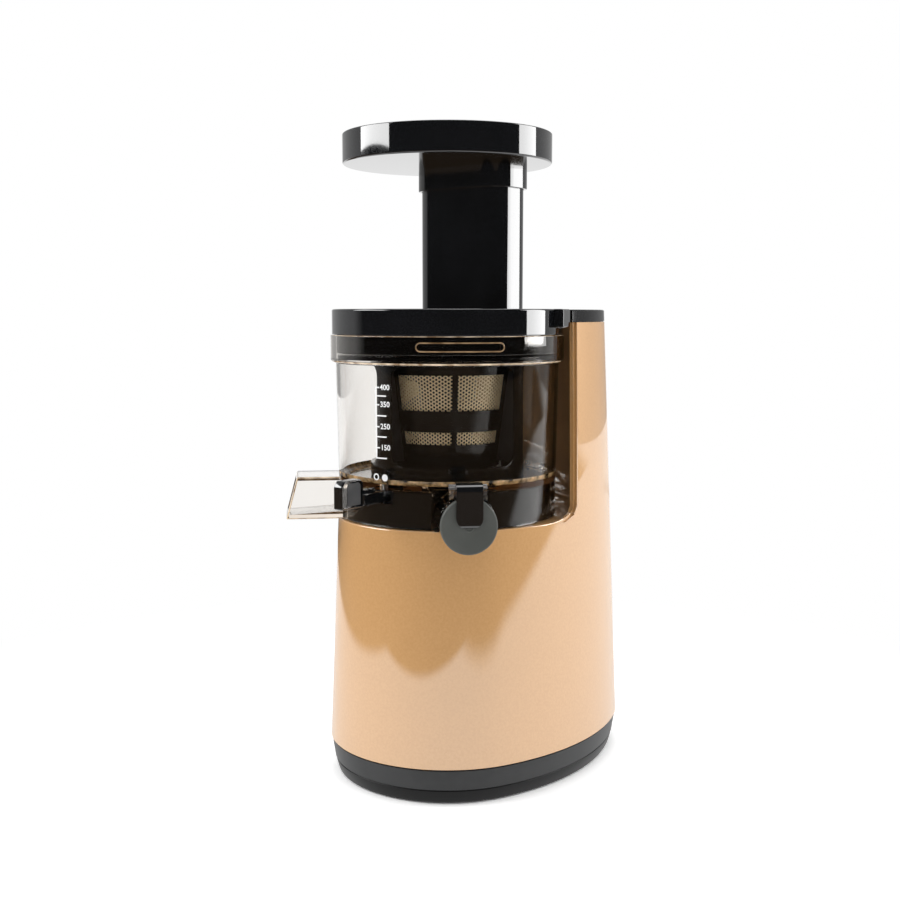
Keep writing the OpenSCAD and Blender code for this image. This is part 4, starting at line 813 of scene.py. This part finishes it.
def mould_spout(bowl):
    """Juice spout with its root, its two hinge ears, and the way that the juice takes."""
    spout = along("spout_outside", SPOUT_R, 70.7, 98, SPOUT_Z, ease_by=0.8)
    weld(spout, block("spout_root", (50, -16.4, BOWL_Z), (72.6, 16.4, FLOOR_Z + 0.1)))
    weld(spout, block("spout_neck", (68.2, -16.2, FLOOR_Z), (72.5, 16.2, 191.8)))
    corners = [(94, 184.8), (98, 184.8), (100, 196.5, 2.9), (HINGE_X, 200.0, 2.9), (94, 196.5, 2.9)]
    for side in (-1, 1):
        ear = side_profile("hinge_ear", rounded(corners, 5), 1.5)
        move(ear, y=side * 9.4)
        weld(spout, ear)
    turn_to(spout, SPOUT_AZ)
    weld(bowl, spout)
    bore = along("spout_inside", SPOUT_R - 2.5, 73.1, 120, SPOUT_Z)
    weld(bore, block("spout_channel", (52.5, -12, 169.4), (75.1, 12, 186.5)))
    drop = cylinder("juice_hole_cutter", 6, 185.5, 196, 48)
    move(drop, x=58.5)
    weld(bore, drop)
    turn_to(bore, SPOUT_AZ)
    cut(bowl, bore)


def juice_bowl():
    """Clear moulding: flange ring, wall, floor and skirt in one outline, with the chute and the spout."""
    outline = rounded(
        [
            (66.8, BOWL_Z, 0.4), (BOWL_R, BOWL_Z, 0.8), (70.8, FLANGE_Z - 0.6, 0.5),
            (FLANGE_R, FLANGE_Z, 1.8), (FLANGE_R, FLANGE_TOP, 0.6), (70.6, FLANGE_TOP, 0.4), (70.6, 266.6),
            (68.6, 266.6, 0.3), (68.6, FLANGE_Z), (67.3, FLOOR_TOP, 3.4), (50.5, FLOOR_TOP),
            (11.5, FLOOR_TOP), (11.5, FLOOR_Z), (61.0, FLOOR_Z), (67.2, FLOOR_Z),
        ]
    )
    bowl = turned("juice_bowl", outline, 192)
    mould_chute(bowl)
    mould_spout(bowl)
    gap = [(-4.8, -62.5), (-4.8, -110), (42.0, -104.8), (6.4, -60.5)]
    cut(bowl, plate("lever_gap_cutter", gap, 181.3, FLOOR_Z))
    smooth(bowl)
    hand_over(bowl, "bowl", "clear_bowl", "bowl")
    # Rims and chute get amber paint whose bright end is a painted highlight
    bowl.data.materials.append(EDGE_TINT_AND_GLOW_PAINT)
    bowl.data.materials.append(PAINTED_CORNER_SPARKLES)
    for face in bowl.data.polygons:
        if edge_catches_light(face.center / MM, face.normal):
            face.material_index = 1
        # The floor corner gets painted amber sparkles
        elif corner_catches_light(face.center / MM, face.normal):
            face.material_index = 2


def by_chute(vector):
    """A vector's shares along the chute, across it and upwards."""
    sine, cosine = math.sin(math.radians(CHUTE_AZ)), math.cos(math.radians(CHUTE_AZ))
    return vector.x * sine - vector.y * cosine, vector.x * cosine + vector.y * sine, vector.z


def edge_catches_light(at, normal):
    """True on the rims and the chute of the clear moulding, which get opaque amber paint: the amber tint of
    the thick plastic, and a painted highlight where light leaves the edges.
    """
    slant = 0.3 < abs(normal.z) < 0.96
    low_rim = FLANGE_Z - 0.5 < at.z < FLANGE_Z + 1.9
    rim = at.xy.length > 72.2 and slant and (low_rim or at.z > FLANGE_TOP - 0.7)
    ahead, aside, height = by_chute(at)
    bevelled = sorted(abs(share) for share in by_chute(normal))[1] > 0.25
    chute = ahead > 70.5 and abs(aside) < 17 and height < FLOOR_Z + 6 and bevelled
    return rim or chute


def corner_catches_light(at, normal):
    """True where the floor of the bowl meets its wall, a thick corner that gets painted amber sparkles,
    glints of light from near black to bright amber.
    """
    reach = at.xy.length
    fillet = 62 < reach < 68 and 0.05 < normal.z < 0.985 and FLOOR_TOP - 0.1 < at.z < FLOOR_TOP + 3.6
    under = 61 < reach < 67.3 and normal.z < -0.9 and abs(at.z - FLOOR_Z) < 0.1
    return fillet or under


# ---------------------------------------- marks on the bowl


def on_wall(piece, radius_at, lift=0.06):
    """Wraps a flat piece, drawn in X (mm round the wall) and Z, on the outside of the bowl."""
    for vertex in piece.data.vertices:
        x, y, z = (c / MM for c in vertex.co)
        r = radius_at(z) + lift + y
        a = x / WRAP_R
        vertex.co = (r * math.sin(a) * MM, -r * math.cos(a) * MM, z * MM)


def flat_bar(x0, x1, z0, z1):
    """Flat bar, divided so that it can follow the wall."""
    put_down()
    bpy.ops.mesh.primitive_grid_add(
        x_subdivisions=max(1, round((x1 - x0) / 1.5)), y_subdivisions=1, size=1,
        location=((x0 + x1) / 2 * MM, 0, (z0 + z1) / 2 * MM), rotation=(math.radians(90), 0, 0),
    )
    bar = bpy.context.object
    bar.scale = ((x1 - x0) * MM, (z1 - z0) * MM, 1)
    settle(bar)
    return bar


def flat_disc(x, z, radius, hole=0.0):
    """Flat round mark, or a flat ring where it has a hole."""
    put_down()
    bpy.ops.mesh.primitive_circle_add(
        vertices=40, radius=radius * MM, fill_type="NGON", location=(x * MM, 0, z * MM),
        rotation=(math.radians(90), 0, 0),
    )
    disc = bpy.context.object
    settle(disc)
    if hole:
        edit(disc, "FACE", "SELECT")
        bpy.ops.mesh.inset(thickness=(radius - hole) * MM)
        bpy.ops.mesh.delete(type="FACE")
        close_edit()
    return disc


def flat_number(text, x, z, height):
    put_down()
    bpy.ops.object.text_add(rotation=(math.radians(90), 0, 0), location=(x * MM, 0, z * MM))
    number = bpy.context.object
    number.data.body = text
    number.data.size = height * MM
    number.data.align_y = "CENTER"
    number.data.resolution_u = 3
    number.data.offset = 0.08 * MM
    bpy.ops.object.convert(target="MESH")
    settle(number)
    return number


def bowl_scale():
    """Printed measuring scale, with the numbers of its marks, and the two marks of the lever."""
    line_x, line_half, line_low, line_high = 1.2, 0.45, 208.4, 251.0
    marks = [flat_bar(line_x - line_half, line_x + line_half, line_low, line_high)]
    for k, z in enumerate((251.0, 246.0, 240.7, 234.2, 227.6, 221.6, 215.0, 208.8)):
        length = 7.6 if k % 2 else 2.6
        marks.append(flat_bar(line_x, line_x + length, z - 0.4, z + 0.4))
    for text, z in (("400", 251.0), ("350", 240.9), ("250", 227.7), ("150", 215.1)):
        marks.append(flat_number(text, line_x + 3.2, z, 4.6))
    marks.append(flat_disc(0.6, 197.3, 2.1, 1.3))
    marks.append(flat_disc(7.0, 197.1, 2.1))
    scale = join("bowl_scale_print", marks)
    settle(scale)
    on_wall(scale, bowl_r)
    edit(scale, select="SELECT")
    bpy.ops.mesh.quads_convert_to_tris()
    close_edit()
    hand_over(scale, "bowl", "gear_plastic", material=PRINT_WHITE)


def flange_slot():
    """Raised outline of a long slot on the flange ring, over the spout: two bars and two round ends, in amber
    paint that is the tint of the clear plastic with a painted highlight of the light its raised edges catch.
    """
    middle, half, rise, line = 54.0, 22.4, 2.5, 0.8
    parts = []
    for side in (-1, 1):
        z = SLOT_Z + side * rise
        bar = flat_bar(middle - half, middle + half, z - line / 2, z + line / 2)
        fasten(bar, "SOLIDIFY", thickness=0.5 * MM, offset=0)
        parts.append(bar)
    for side in (-1, 1):
        x = (middle + side * half) * MM
        put_down()
        bpy.ops.mesh.primitive_torus_add(
            major_radius=rise * MM, minor_radius=line / 2 * MM, major_segments=40, minor_segments=8,
            location=(x, 0, SLOT_Z * MM), rotation=(math.radians(90), 0, 0),
        )
        end = bpy.context.object
        end.scale.z = 0.5
        settle(end)
        edit(end, "FACE", "SELECT")
        bpy.ops.mesh.bisect(plane_co=(x, 0, 0), plane_no=(side, 0, 0), clear_inner=True, use_fill=True)
        close_edit()
        parts.append(end)
    slot = join("flange_slot", parts)
    settle(slot)
    on_wall(slot, lambda z: FLANGE_R, 0.1)
    face_out(slot)
    hand_over(slot, "bowl", "clear_bowl", material=SLOT_TINT_AND_GLOW_PAINT)


# ---------------------------------------- brush and strainer


def window_edge(middle, edge):
    """True for the outer edges of the windows in the brush frame."""
    sharp = len(edge.link_faces) == 2 and edge.calc_face_angle(0) > 0.7
    return sharp and 201 < middle.z < 263.5 and middle.xy.length > 48.5


def brush_cage():
    """Round frame of the spinning brush, with three windows."""
    outline = rounded(
        [
            (49.0, 192.9, 0.5), (49.0, 265.8, 0.8), (46.6, 265.8, 0.5), (46.6, 200.5, 1.5),
            (43.0, 199.4, 0.4), (46.0, 192.9),
        ]
    )
    cage = turned("brush_cage", outline, 180)
    for k in range(3):
        window = front_profile("window_cutter", round_rect(75, 62, 7, (0, 231.9)), 16, 76)
        turn_to(window, SPOUT_AZ + 120 * k)
        cut(cage, window)
    select_edges(cage, window_edge)
    bpy.ops.mesh.bevel(offset=0.5 * MM, segments=2, affect="EDGES")
    close_edit()
    smooth(cage, 30)
    hand_over(cage, "brush", "matte_black", "spinning_brush")


def pierced_link(half_wide, half_high, hole):
    """One diamond of steel sheet round one hole, in X and Y."""
    put_down()
    bpy.ops.mesh.primitive_circle_add(vertices=8, radius=hole * MM)
    link = bpy.context.object
    edit(link, select="SELECT")
    bpy.ops.mesh.extrude_region_move(TRANSFORM_OT_translate={"value": (0, 0, 0.1 * MM)})
    mesh = bmesh.from_edit_mesh(link.data)
    for vertex in (v for v in mesh.verts if v.select):
        x, y = round(vertex.co.x / MM, 3), round(vertex.co.y / MM, 3)
        share = 1.0 if x == 0 or y == 0 else 0.5
        wide = math.copysign(half_wide * share, x) if x else 0
        high = math.copysign(half_high * share, y) if y else 0
        vertex.co = (wide * MM, high * MM, 0)
    bmesh.update_edit_mesh(link.data)
    close_edit()
    return link


def perforated_sleeve(name, z0, z1, node):
    """Sleeve of steel sheet with staggered round holes: one pierced link, repeated and rolled up."""
    columns, half_wide, half_high, hole, inset, sheet = 64, 1.8, 1.13, 0.76, 2.05, 0.4
    rows = math.ceil((z1 - z0) / (2 * half_high)) + 1
    sleeve = pierced_link(half_wide, half_high, hole)
    sleeve.name = name
    for count, x, y in ((2, half_wide, half_high), (columns, 2 * half_wide, 0), (rows, 0, 2 * half_high)):
        fasten(
            sleeve, "ARRAY", count=count, use_relative_offset=False, use_constant_offset=True,
            constant_offset_displace=(x * MM, y * MM, 0),
        )
    for vertex in sleeve.data.vertices:
        z = z0 - half_high + vertex.co.y / MM
        r = strainer_r(z) - inset
        a = vertex.co.x / MM / half_wide * math.pi / columns
        vertex.co = (r * math.sin(a) * MM, -r * math.cos(a) * MM, z * MM)
    face_out(sleeve)
    for z, below in ((z0, True), (z1, False)):
        edit(sleeve, select="SELECT")
        bpy.ops.mesh.bisect(
            plane_co=(0, 0, z * MM), plane_no=(0, 0, 1), clear_inner=below, clear_outer=not below
        )
        close_edit()
    fasten(sleeve, "SOLIDIFY", thickness=sheet * MM, offset=-1)
    smooth(sleeve, 40)
    hand_over(sleeve, "bowl", "steel", node, material=MESH_STEEL)


# ---------------------------------------- juice cap and lever


def raised_ring(name, x, z, outer, inner, height):
    """Small raised ring on a face that looks along +X."""
    put_down()
    bpy.ops.mesh.primitive_torus_add(
        major_radius=(outer + inner) / 2 * MM, minor_radius=(outer - inner) / 2 * MM,
        major_segments=40, minor_segments=8, location=(x * MM, 0, z * MM), rotation=(0, math.radians(90), 0),
    )
    ring = new_piece(name)
    ring.scale.z = height / ((outer - inner) / 2) / 2
    settle(ring)
    return ring


def spout_cap():
    """Satin disc over the spout, and the glossy arm that hangs it from the hinge pin."""
    face_x = 103.4
    disc = along("spout_cap", 16.4, 99, face_x, DISC_Z, 128, 1.0)
    dimple = raised_ring("cap_dimple", face_x, DISC_Z - 0.6, 2.6, 1.7, 0.8)
    disc = join("spout_cap", [disc, dimple])
    turn_to(disc, SPOUT_AZ)
    smooth(disc)
    hand_over(disc, "cap", "gloss_black", material=CAP_GREY)
    arm_outline = [
        (103.0, 174.5, 1.0), (105.9, 174.5, 1.6), (106.6, 199.4, 4.6), (HINGE_X, 200.0, 2.9),
        (94.1, HINGE_Z, 2.9), (HINGE_X, 194.0, 1.0), (99.4, 195.5), (103.0, 193.0, 1.0),
    ]
    arm = side_profile("cap_arm", rounded(arm_outline, 6), 7.6)
    cut(arm, front_profile("arm_front_outline", round_rect(15.2, 60, 5.5, (0, 204.5)), 90, 110), "INTERSECT")
    ease(arm, 1.1, 4, 40)
    pin_hole = across("cap_pin_bore", 1.56, 20, 32)
    move(pin_hole, x=HINGE_X, z=HINGE_Z)
    cut(arm, pin_hole)
    turn_to(arm, SPOUT_AZ)
    smooth(arm)
    hand_over(arm, "cap", "gloss_black", "juice_cap")


def gate_carrier():
    """Flat arm from the lever's pivot to the pulp hole, with the disc that carries the gate."""
    low, high = 184.7, 186.7
    aside = PULP_HOLE_R * math.sin(math.radians(-CHUTE_AZ))
    back = -LEVER_Y - PULP_HOLE_R * math.cos(math.radians(CHUTE_AZ))
    reach = math.hypot(aside, back)
    carrier = block("gate_carrier", (-3.5, 0, low), (3.5, reach, high), 0.4)
    disc = cylinder("gate_disc", 7.0, low, high, 48, 0.4)
    move(disc, y=reach)
    weld(carrier, disc)
    tip(carrier, z=math.degrees(math.atan2(aside, back)))
    move(carrier, y=LEVER_Y)
    return carrier


def lever():
    """Arm on its pivot, raised grip with chamfered ends, and the plate that carries the gate."""
    hub = cylinder("front_lever", 5.5, LEVER_Z, LEVER_TOP, 48, 0.5)
    move(hub, y=LEVER_Y)
    weld(hub, block("lever_arm", (-4, -85, LEVER_Z), (4, LEVER_Y, LEVER_TOP), 0.8))
    weld(hub, block("lever_rib", (-3.3, -86, 187.5), (3.3, -73.5, 191.7), 0.8))
    grip_outline = [(84, 181.1), (103, 181.1), (103, 194.6), (100.4, 197.9), (86.2, 197.9), (84, 195.4)]
    grip = side_profile("lever_grip", grip_outline, 3.3)
    turn_to(grip, 0)
    ease(grip, 0.8, 3, 30)
    weld(hub, grip)
    weld(hub, gate_carrier())
    bore = cylinder("lever_bore", 2.06, 170, 200, 32)
    move(bore, y=LEVER_Y)
    cut(hub, bore)
    smooth(hub)
    hand_over(hub, "lever", "gloss_black", "control_lever")
    pad_outline = [(87.0, 183.0), (98.2, 183.0), (98.2, 194.6), (96.6, 196.2), (88.4, 196.2), (87.0, 194.8)]
    pads = []
    for side in (-1, 1):
        pad = side_profile("grip_pad", pad_outline, 0.12)
        turn_to(pad, 0)
        move(pad, x=side * 3.36)
        pads.append(pad)
    hand_over(join("lever_grip_pads", pads), "lever", "matte_black", material=MARK_GREY)


# ---------------------------------------- nodes that stay


def dress_nodes():
    """Gives each CAD node that still shows the finish of its slot."""
    slots = {part["node"]: part["material_slot"] for part in frame["record"]["subparts"]}
    for name, node in frame["nodes"].items():
        paint(node, MESH_STEEL if name.endswith("_mesh") else FINISHES[slots[name]])


# ---------------------------------------- studio

TOWARDS_CAMERA = (math.sin(math.radians(CAMERA_TURN)), -math.cos(math.radians(CAMERA_TURN)), 0.0)

# Where the white table ends, seen in reflections: azimuth in degrees, distance in metres, how fast it widens,
# and how wide its soft edge is in metres
TABLE_LOBES = ((-50, 0.43, 0.21, 0.09), (11, 0.412, 0.29, 0.07), (69, 0.425, 0.9, 0.22))
FLOOR_GAIN = 1.3


def maths(tree, operation, first, second=None, clamp=False):
    """Math node; a number goes on the socket, anything else is linked."""
    node = tree.nodes.new("ShaderNodeMath")
    node.operation = operation
    node.use_clamp = clamp
    for socket, value in zip(node.inputs, (first, second)):
        if isinstance(value, (int, float)):
            socket.default_value = value
        elif value is not None:
            tree.links.new(value, socket)
    return node.outputs[0]


def along_axis(tree, vector, axis):
    node = tree.nodes.new("ShaderNodeVectorMath")
    node.operation = "DOT_PRODUCT"
    node.inputs[1].default_value = axis
    tree.links.new(vector, node.inputs[0])
    return node.outputs["Value"]


def length_of(tree, vector):
    node = tree.nodes.new("ShaderNodeVectorMath")
    node.operation = "LENGTH"
    tree.links.new(vector, node.inputs[0])
    return node.outputs["Value"]


def step_between(tree, value, low, high):
    """Soft step from 0 at low to 1 at high."""
    node = tree.nodes.new("ShaderNodeMapRange")
    node.interpolation_type = "SMOOTHSTEP"
    node.inputs["From Min"].default_value = low
    node.inputs["From Max"].default_value = high
    tree.links.new(value, node.inputs["Value"])
    return node.outputs["Result"]


def plain(tree, kind, colour):
    """Plain background, emission or matt shader of one colour."""
    node = tree.nodes.new(kind)
    node.inputs["Color"].default_value = (*colour, 1)
    return node.outputs[0]


def mix_shaders(tree, factor, first, second):
    mixed = tree.nodes.new("ShaderNodeMixShader")
    for socket, source in zip(mixed.inputs, (factor, first, second)):
        tree.links.new(source, socket)
    return mixed.outputs[0]


def by_path(tree, seen, matt_light, mirrored):
    """One shader for the camera and clear plastic, one for matt surfaces and one for reflections."""
    rays = tree.nodes.new("ShaderNodeLightPath")
    glossy = maths(tree, "GREATER_THAN", rays.outputs["Glossy Depth"], 0.5)
    diffuse = maths(tree, "GREATER_THAN", rays.outputs["Diffuse Depth"], 0.5)
    matt = maths(tree, "SUBTRACT", diffuse, glossy, clamp=True)
    return mix_shaders(tree, glossy, mix_shaders(tree, matt, seen, matt_light), mirrored)


def table_edge(tree, vector):
    """How far a floor point lies past the scalloped edge of the white table, 1 where its soft edge ends."""
    parts = tree.nodes.new("ShaderNodeSeparateXYZ")
    tree.links.new(vector, parts.inputs["Vector"])
    x, y = parts.outputs["X"], parts.outputs["Y"]
    around = maths(tree, "ARCTAN2", x, maths(tree, "MULTIPLY", y, -1.0))
    squares = maths(tree, "ADD", maths(tree, "MULTIPLY", x, x), maths(tree, "MULTIPLY", y, y))
    reach = maths(tree, "SQRT", squares)
    edge = None
    for azimuth, start, widen, soft in TABLE_LOBES:
        off = maths(tree, "SUBTRACT", around, math.radians(azimuth))
        wider = maths(tree, "MULTIPLY", maths(tree, "MULTIPLY", off, off), widen)
        lobe = maths(tree, "ADD", wider, start)
        past = maths(tree, "DIVIDE", maths(tree, "SUBTRACT", reach, lobe), soft)
        edge = past if edge is None else maths(tree, "MAXIMUM", edge, past)
    return edge


def floor_material():
    """White to the camera with its shadow kept; to reflections a white table with a dark room past it."""
    material = bpy.data.materials.new("pale_floor")
    material.use_nodes = True
    tree = material.node_tree
    tree.nodes.clear()
    out = tree.nodes.new("ShaderNodeOutputMaterial")
    place = tree.nodes.new("ShaderNodeTexCoord").outputs["Object"]
    past = step_between(tree, table_edge(tree, place), 0.0, 1.0)
    ahead = step_between(tree, along_axis(tree, place, TOWARDS_CAMERA), -1.5, -0.8)
    table = tree.nodes.new("ShaderNodeMix")
    table.data_type = "RGBA"
    tree.links.new(maths(tree, "MULTIPLY", past, ahead), table.inputs["Factor"])
    table.inputs["A"].default_value = (0.95, 0.95, 0.95, 1)
    table.inputs["B"].default_value = (0.10, 0.07, 0.045, 1)
    near = plain(tree, "ShaderNodeBsdfDiffuse", (FLOOR_GAIN, FLOOR_GAIN, FLOOR_GAIN))
    clean = plain(tree, "ShaderNodeEmission", (1, 1, 1))
    seen = mix_shaders(tree, step_between(tree, length_of(tree, place), 0.22, 0.5), near, clean)
    lit = plain(tree, "ShaderNodeBsdfDiffuse", (0.88, 0.88, 0.88))
    met = tree.nodes.new("ShaderNodeEmission")
    tree.links.new(table.outputs["Result"], met.inputs["Color"])
    tree.links.new(by_path(tree, seen, lit, met.outputs[0]), out.inputs["Surface"])
    return material


def white_studio():
    """White to the camera, even grey to matt surfaces; to reflections a dark room with a white backdrop."""
    world = bpy.data.worlds.new("white_studio")
    bpy.context.scene.world = world
    world.use_nodes = True
    tree = world.node_tree
    tree.nodes.clear()
    out = tree.nodes.new("ShaderNodeOutputWorld")
    place = tree.nodes.new("ShaderNodeTexCoord").outputs["Generated"]
    behind = maths(tree, "MULTIPLY", along_axis(tree, place, TOWARDS_CAMERA), -1.0)
    greys = ((0.22, (0.30, 0.30, 0.30)), (0.93, (0.34, 0.34, 0.34)))
    room = ramp(tree, behind, (0.014, 0.012, 0.010), (0.95, 0.95, 0.95), 0.0, 0.985, greys)
    white = plain(tree, "ShaderNodeBackground", (1, 1, 1))
    even = plain(tree, "ShaderNodeBackground", (0.70, 0.70, 0.70))
    mirror = tree.nodes.new("ShaderNodeBackground")
    tree.links.new(room, mirror.inputs["Color"])
    tree.links.new(by_path(tree, white, even, mirror.outputs[0]), out.inputs["Surface"])


def studio_floor():
    put_down()
    bpy.ops.mesh.primitive_plane_add(size=6, location=(0, 0, -0.2 * MM))
    floor = new_piece("studio_floor")
    paint(floor, floor_material())


def softbox(name, place, turn, size, power):
    """Rectangular soft panel at a place in metres, turned by degrees."""
    put_down()
    bpy.ops.object.light_add(type="AREA", location=place, rotation=[math.radians(angle) for angle in turn])
    lamp = new_piece(name)
    lamp.data.shape = "RECTANGLE"
    lamp.data.size, lamp.data.size_y = size
    lamp.data.energy = power


def standing_softbox(name, azimuth, distance, low, high, half_angle, power):
    """Upright soft panel at an azimuth round the juicer, between two heights in metres."""
    a = math.radians(azimuth)
    place = (distance * math.sin(a), -distance * math.cos(a), (low + high) / 2)
    size = (2 * distance * math.tan(math.radians(half_angle)), high - low)
    softbox(name, place, (90, 0, azimuth), size, power)


def lights():
    standing_softbox("right_softbox", 133, 1.3, 0.24, 1.15, 13.5, 9.5)
    standing_softbox("left_softbox", -45.5, 1.2, 0.54, 1.25, 20.5, 12)
    softbox("top_softbox", (-0.1, 0.2, 1.7), (0, 0, 0), (1.3, 1.3), 11)


place_camera()
housing_shell()
column_top()
skirt()
lid_and_tube()
food_tray()
juice_bowl()
bowl_scale()
flange_slot()
brush_cage()
perforated_sleeve("upper_sieve", 233.0, 259.0, "upper_mesh")
perforated_sleeve("lower_sieve", 212.0, 224.0, "lower_mesh")
spout_cap()
lever()
dress_nodes()
studio_floor()
white_studio()
lights()
bpy.context.scene.view_settings.view_transform = "Standard"
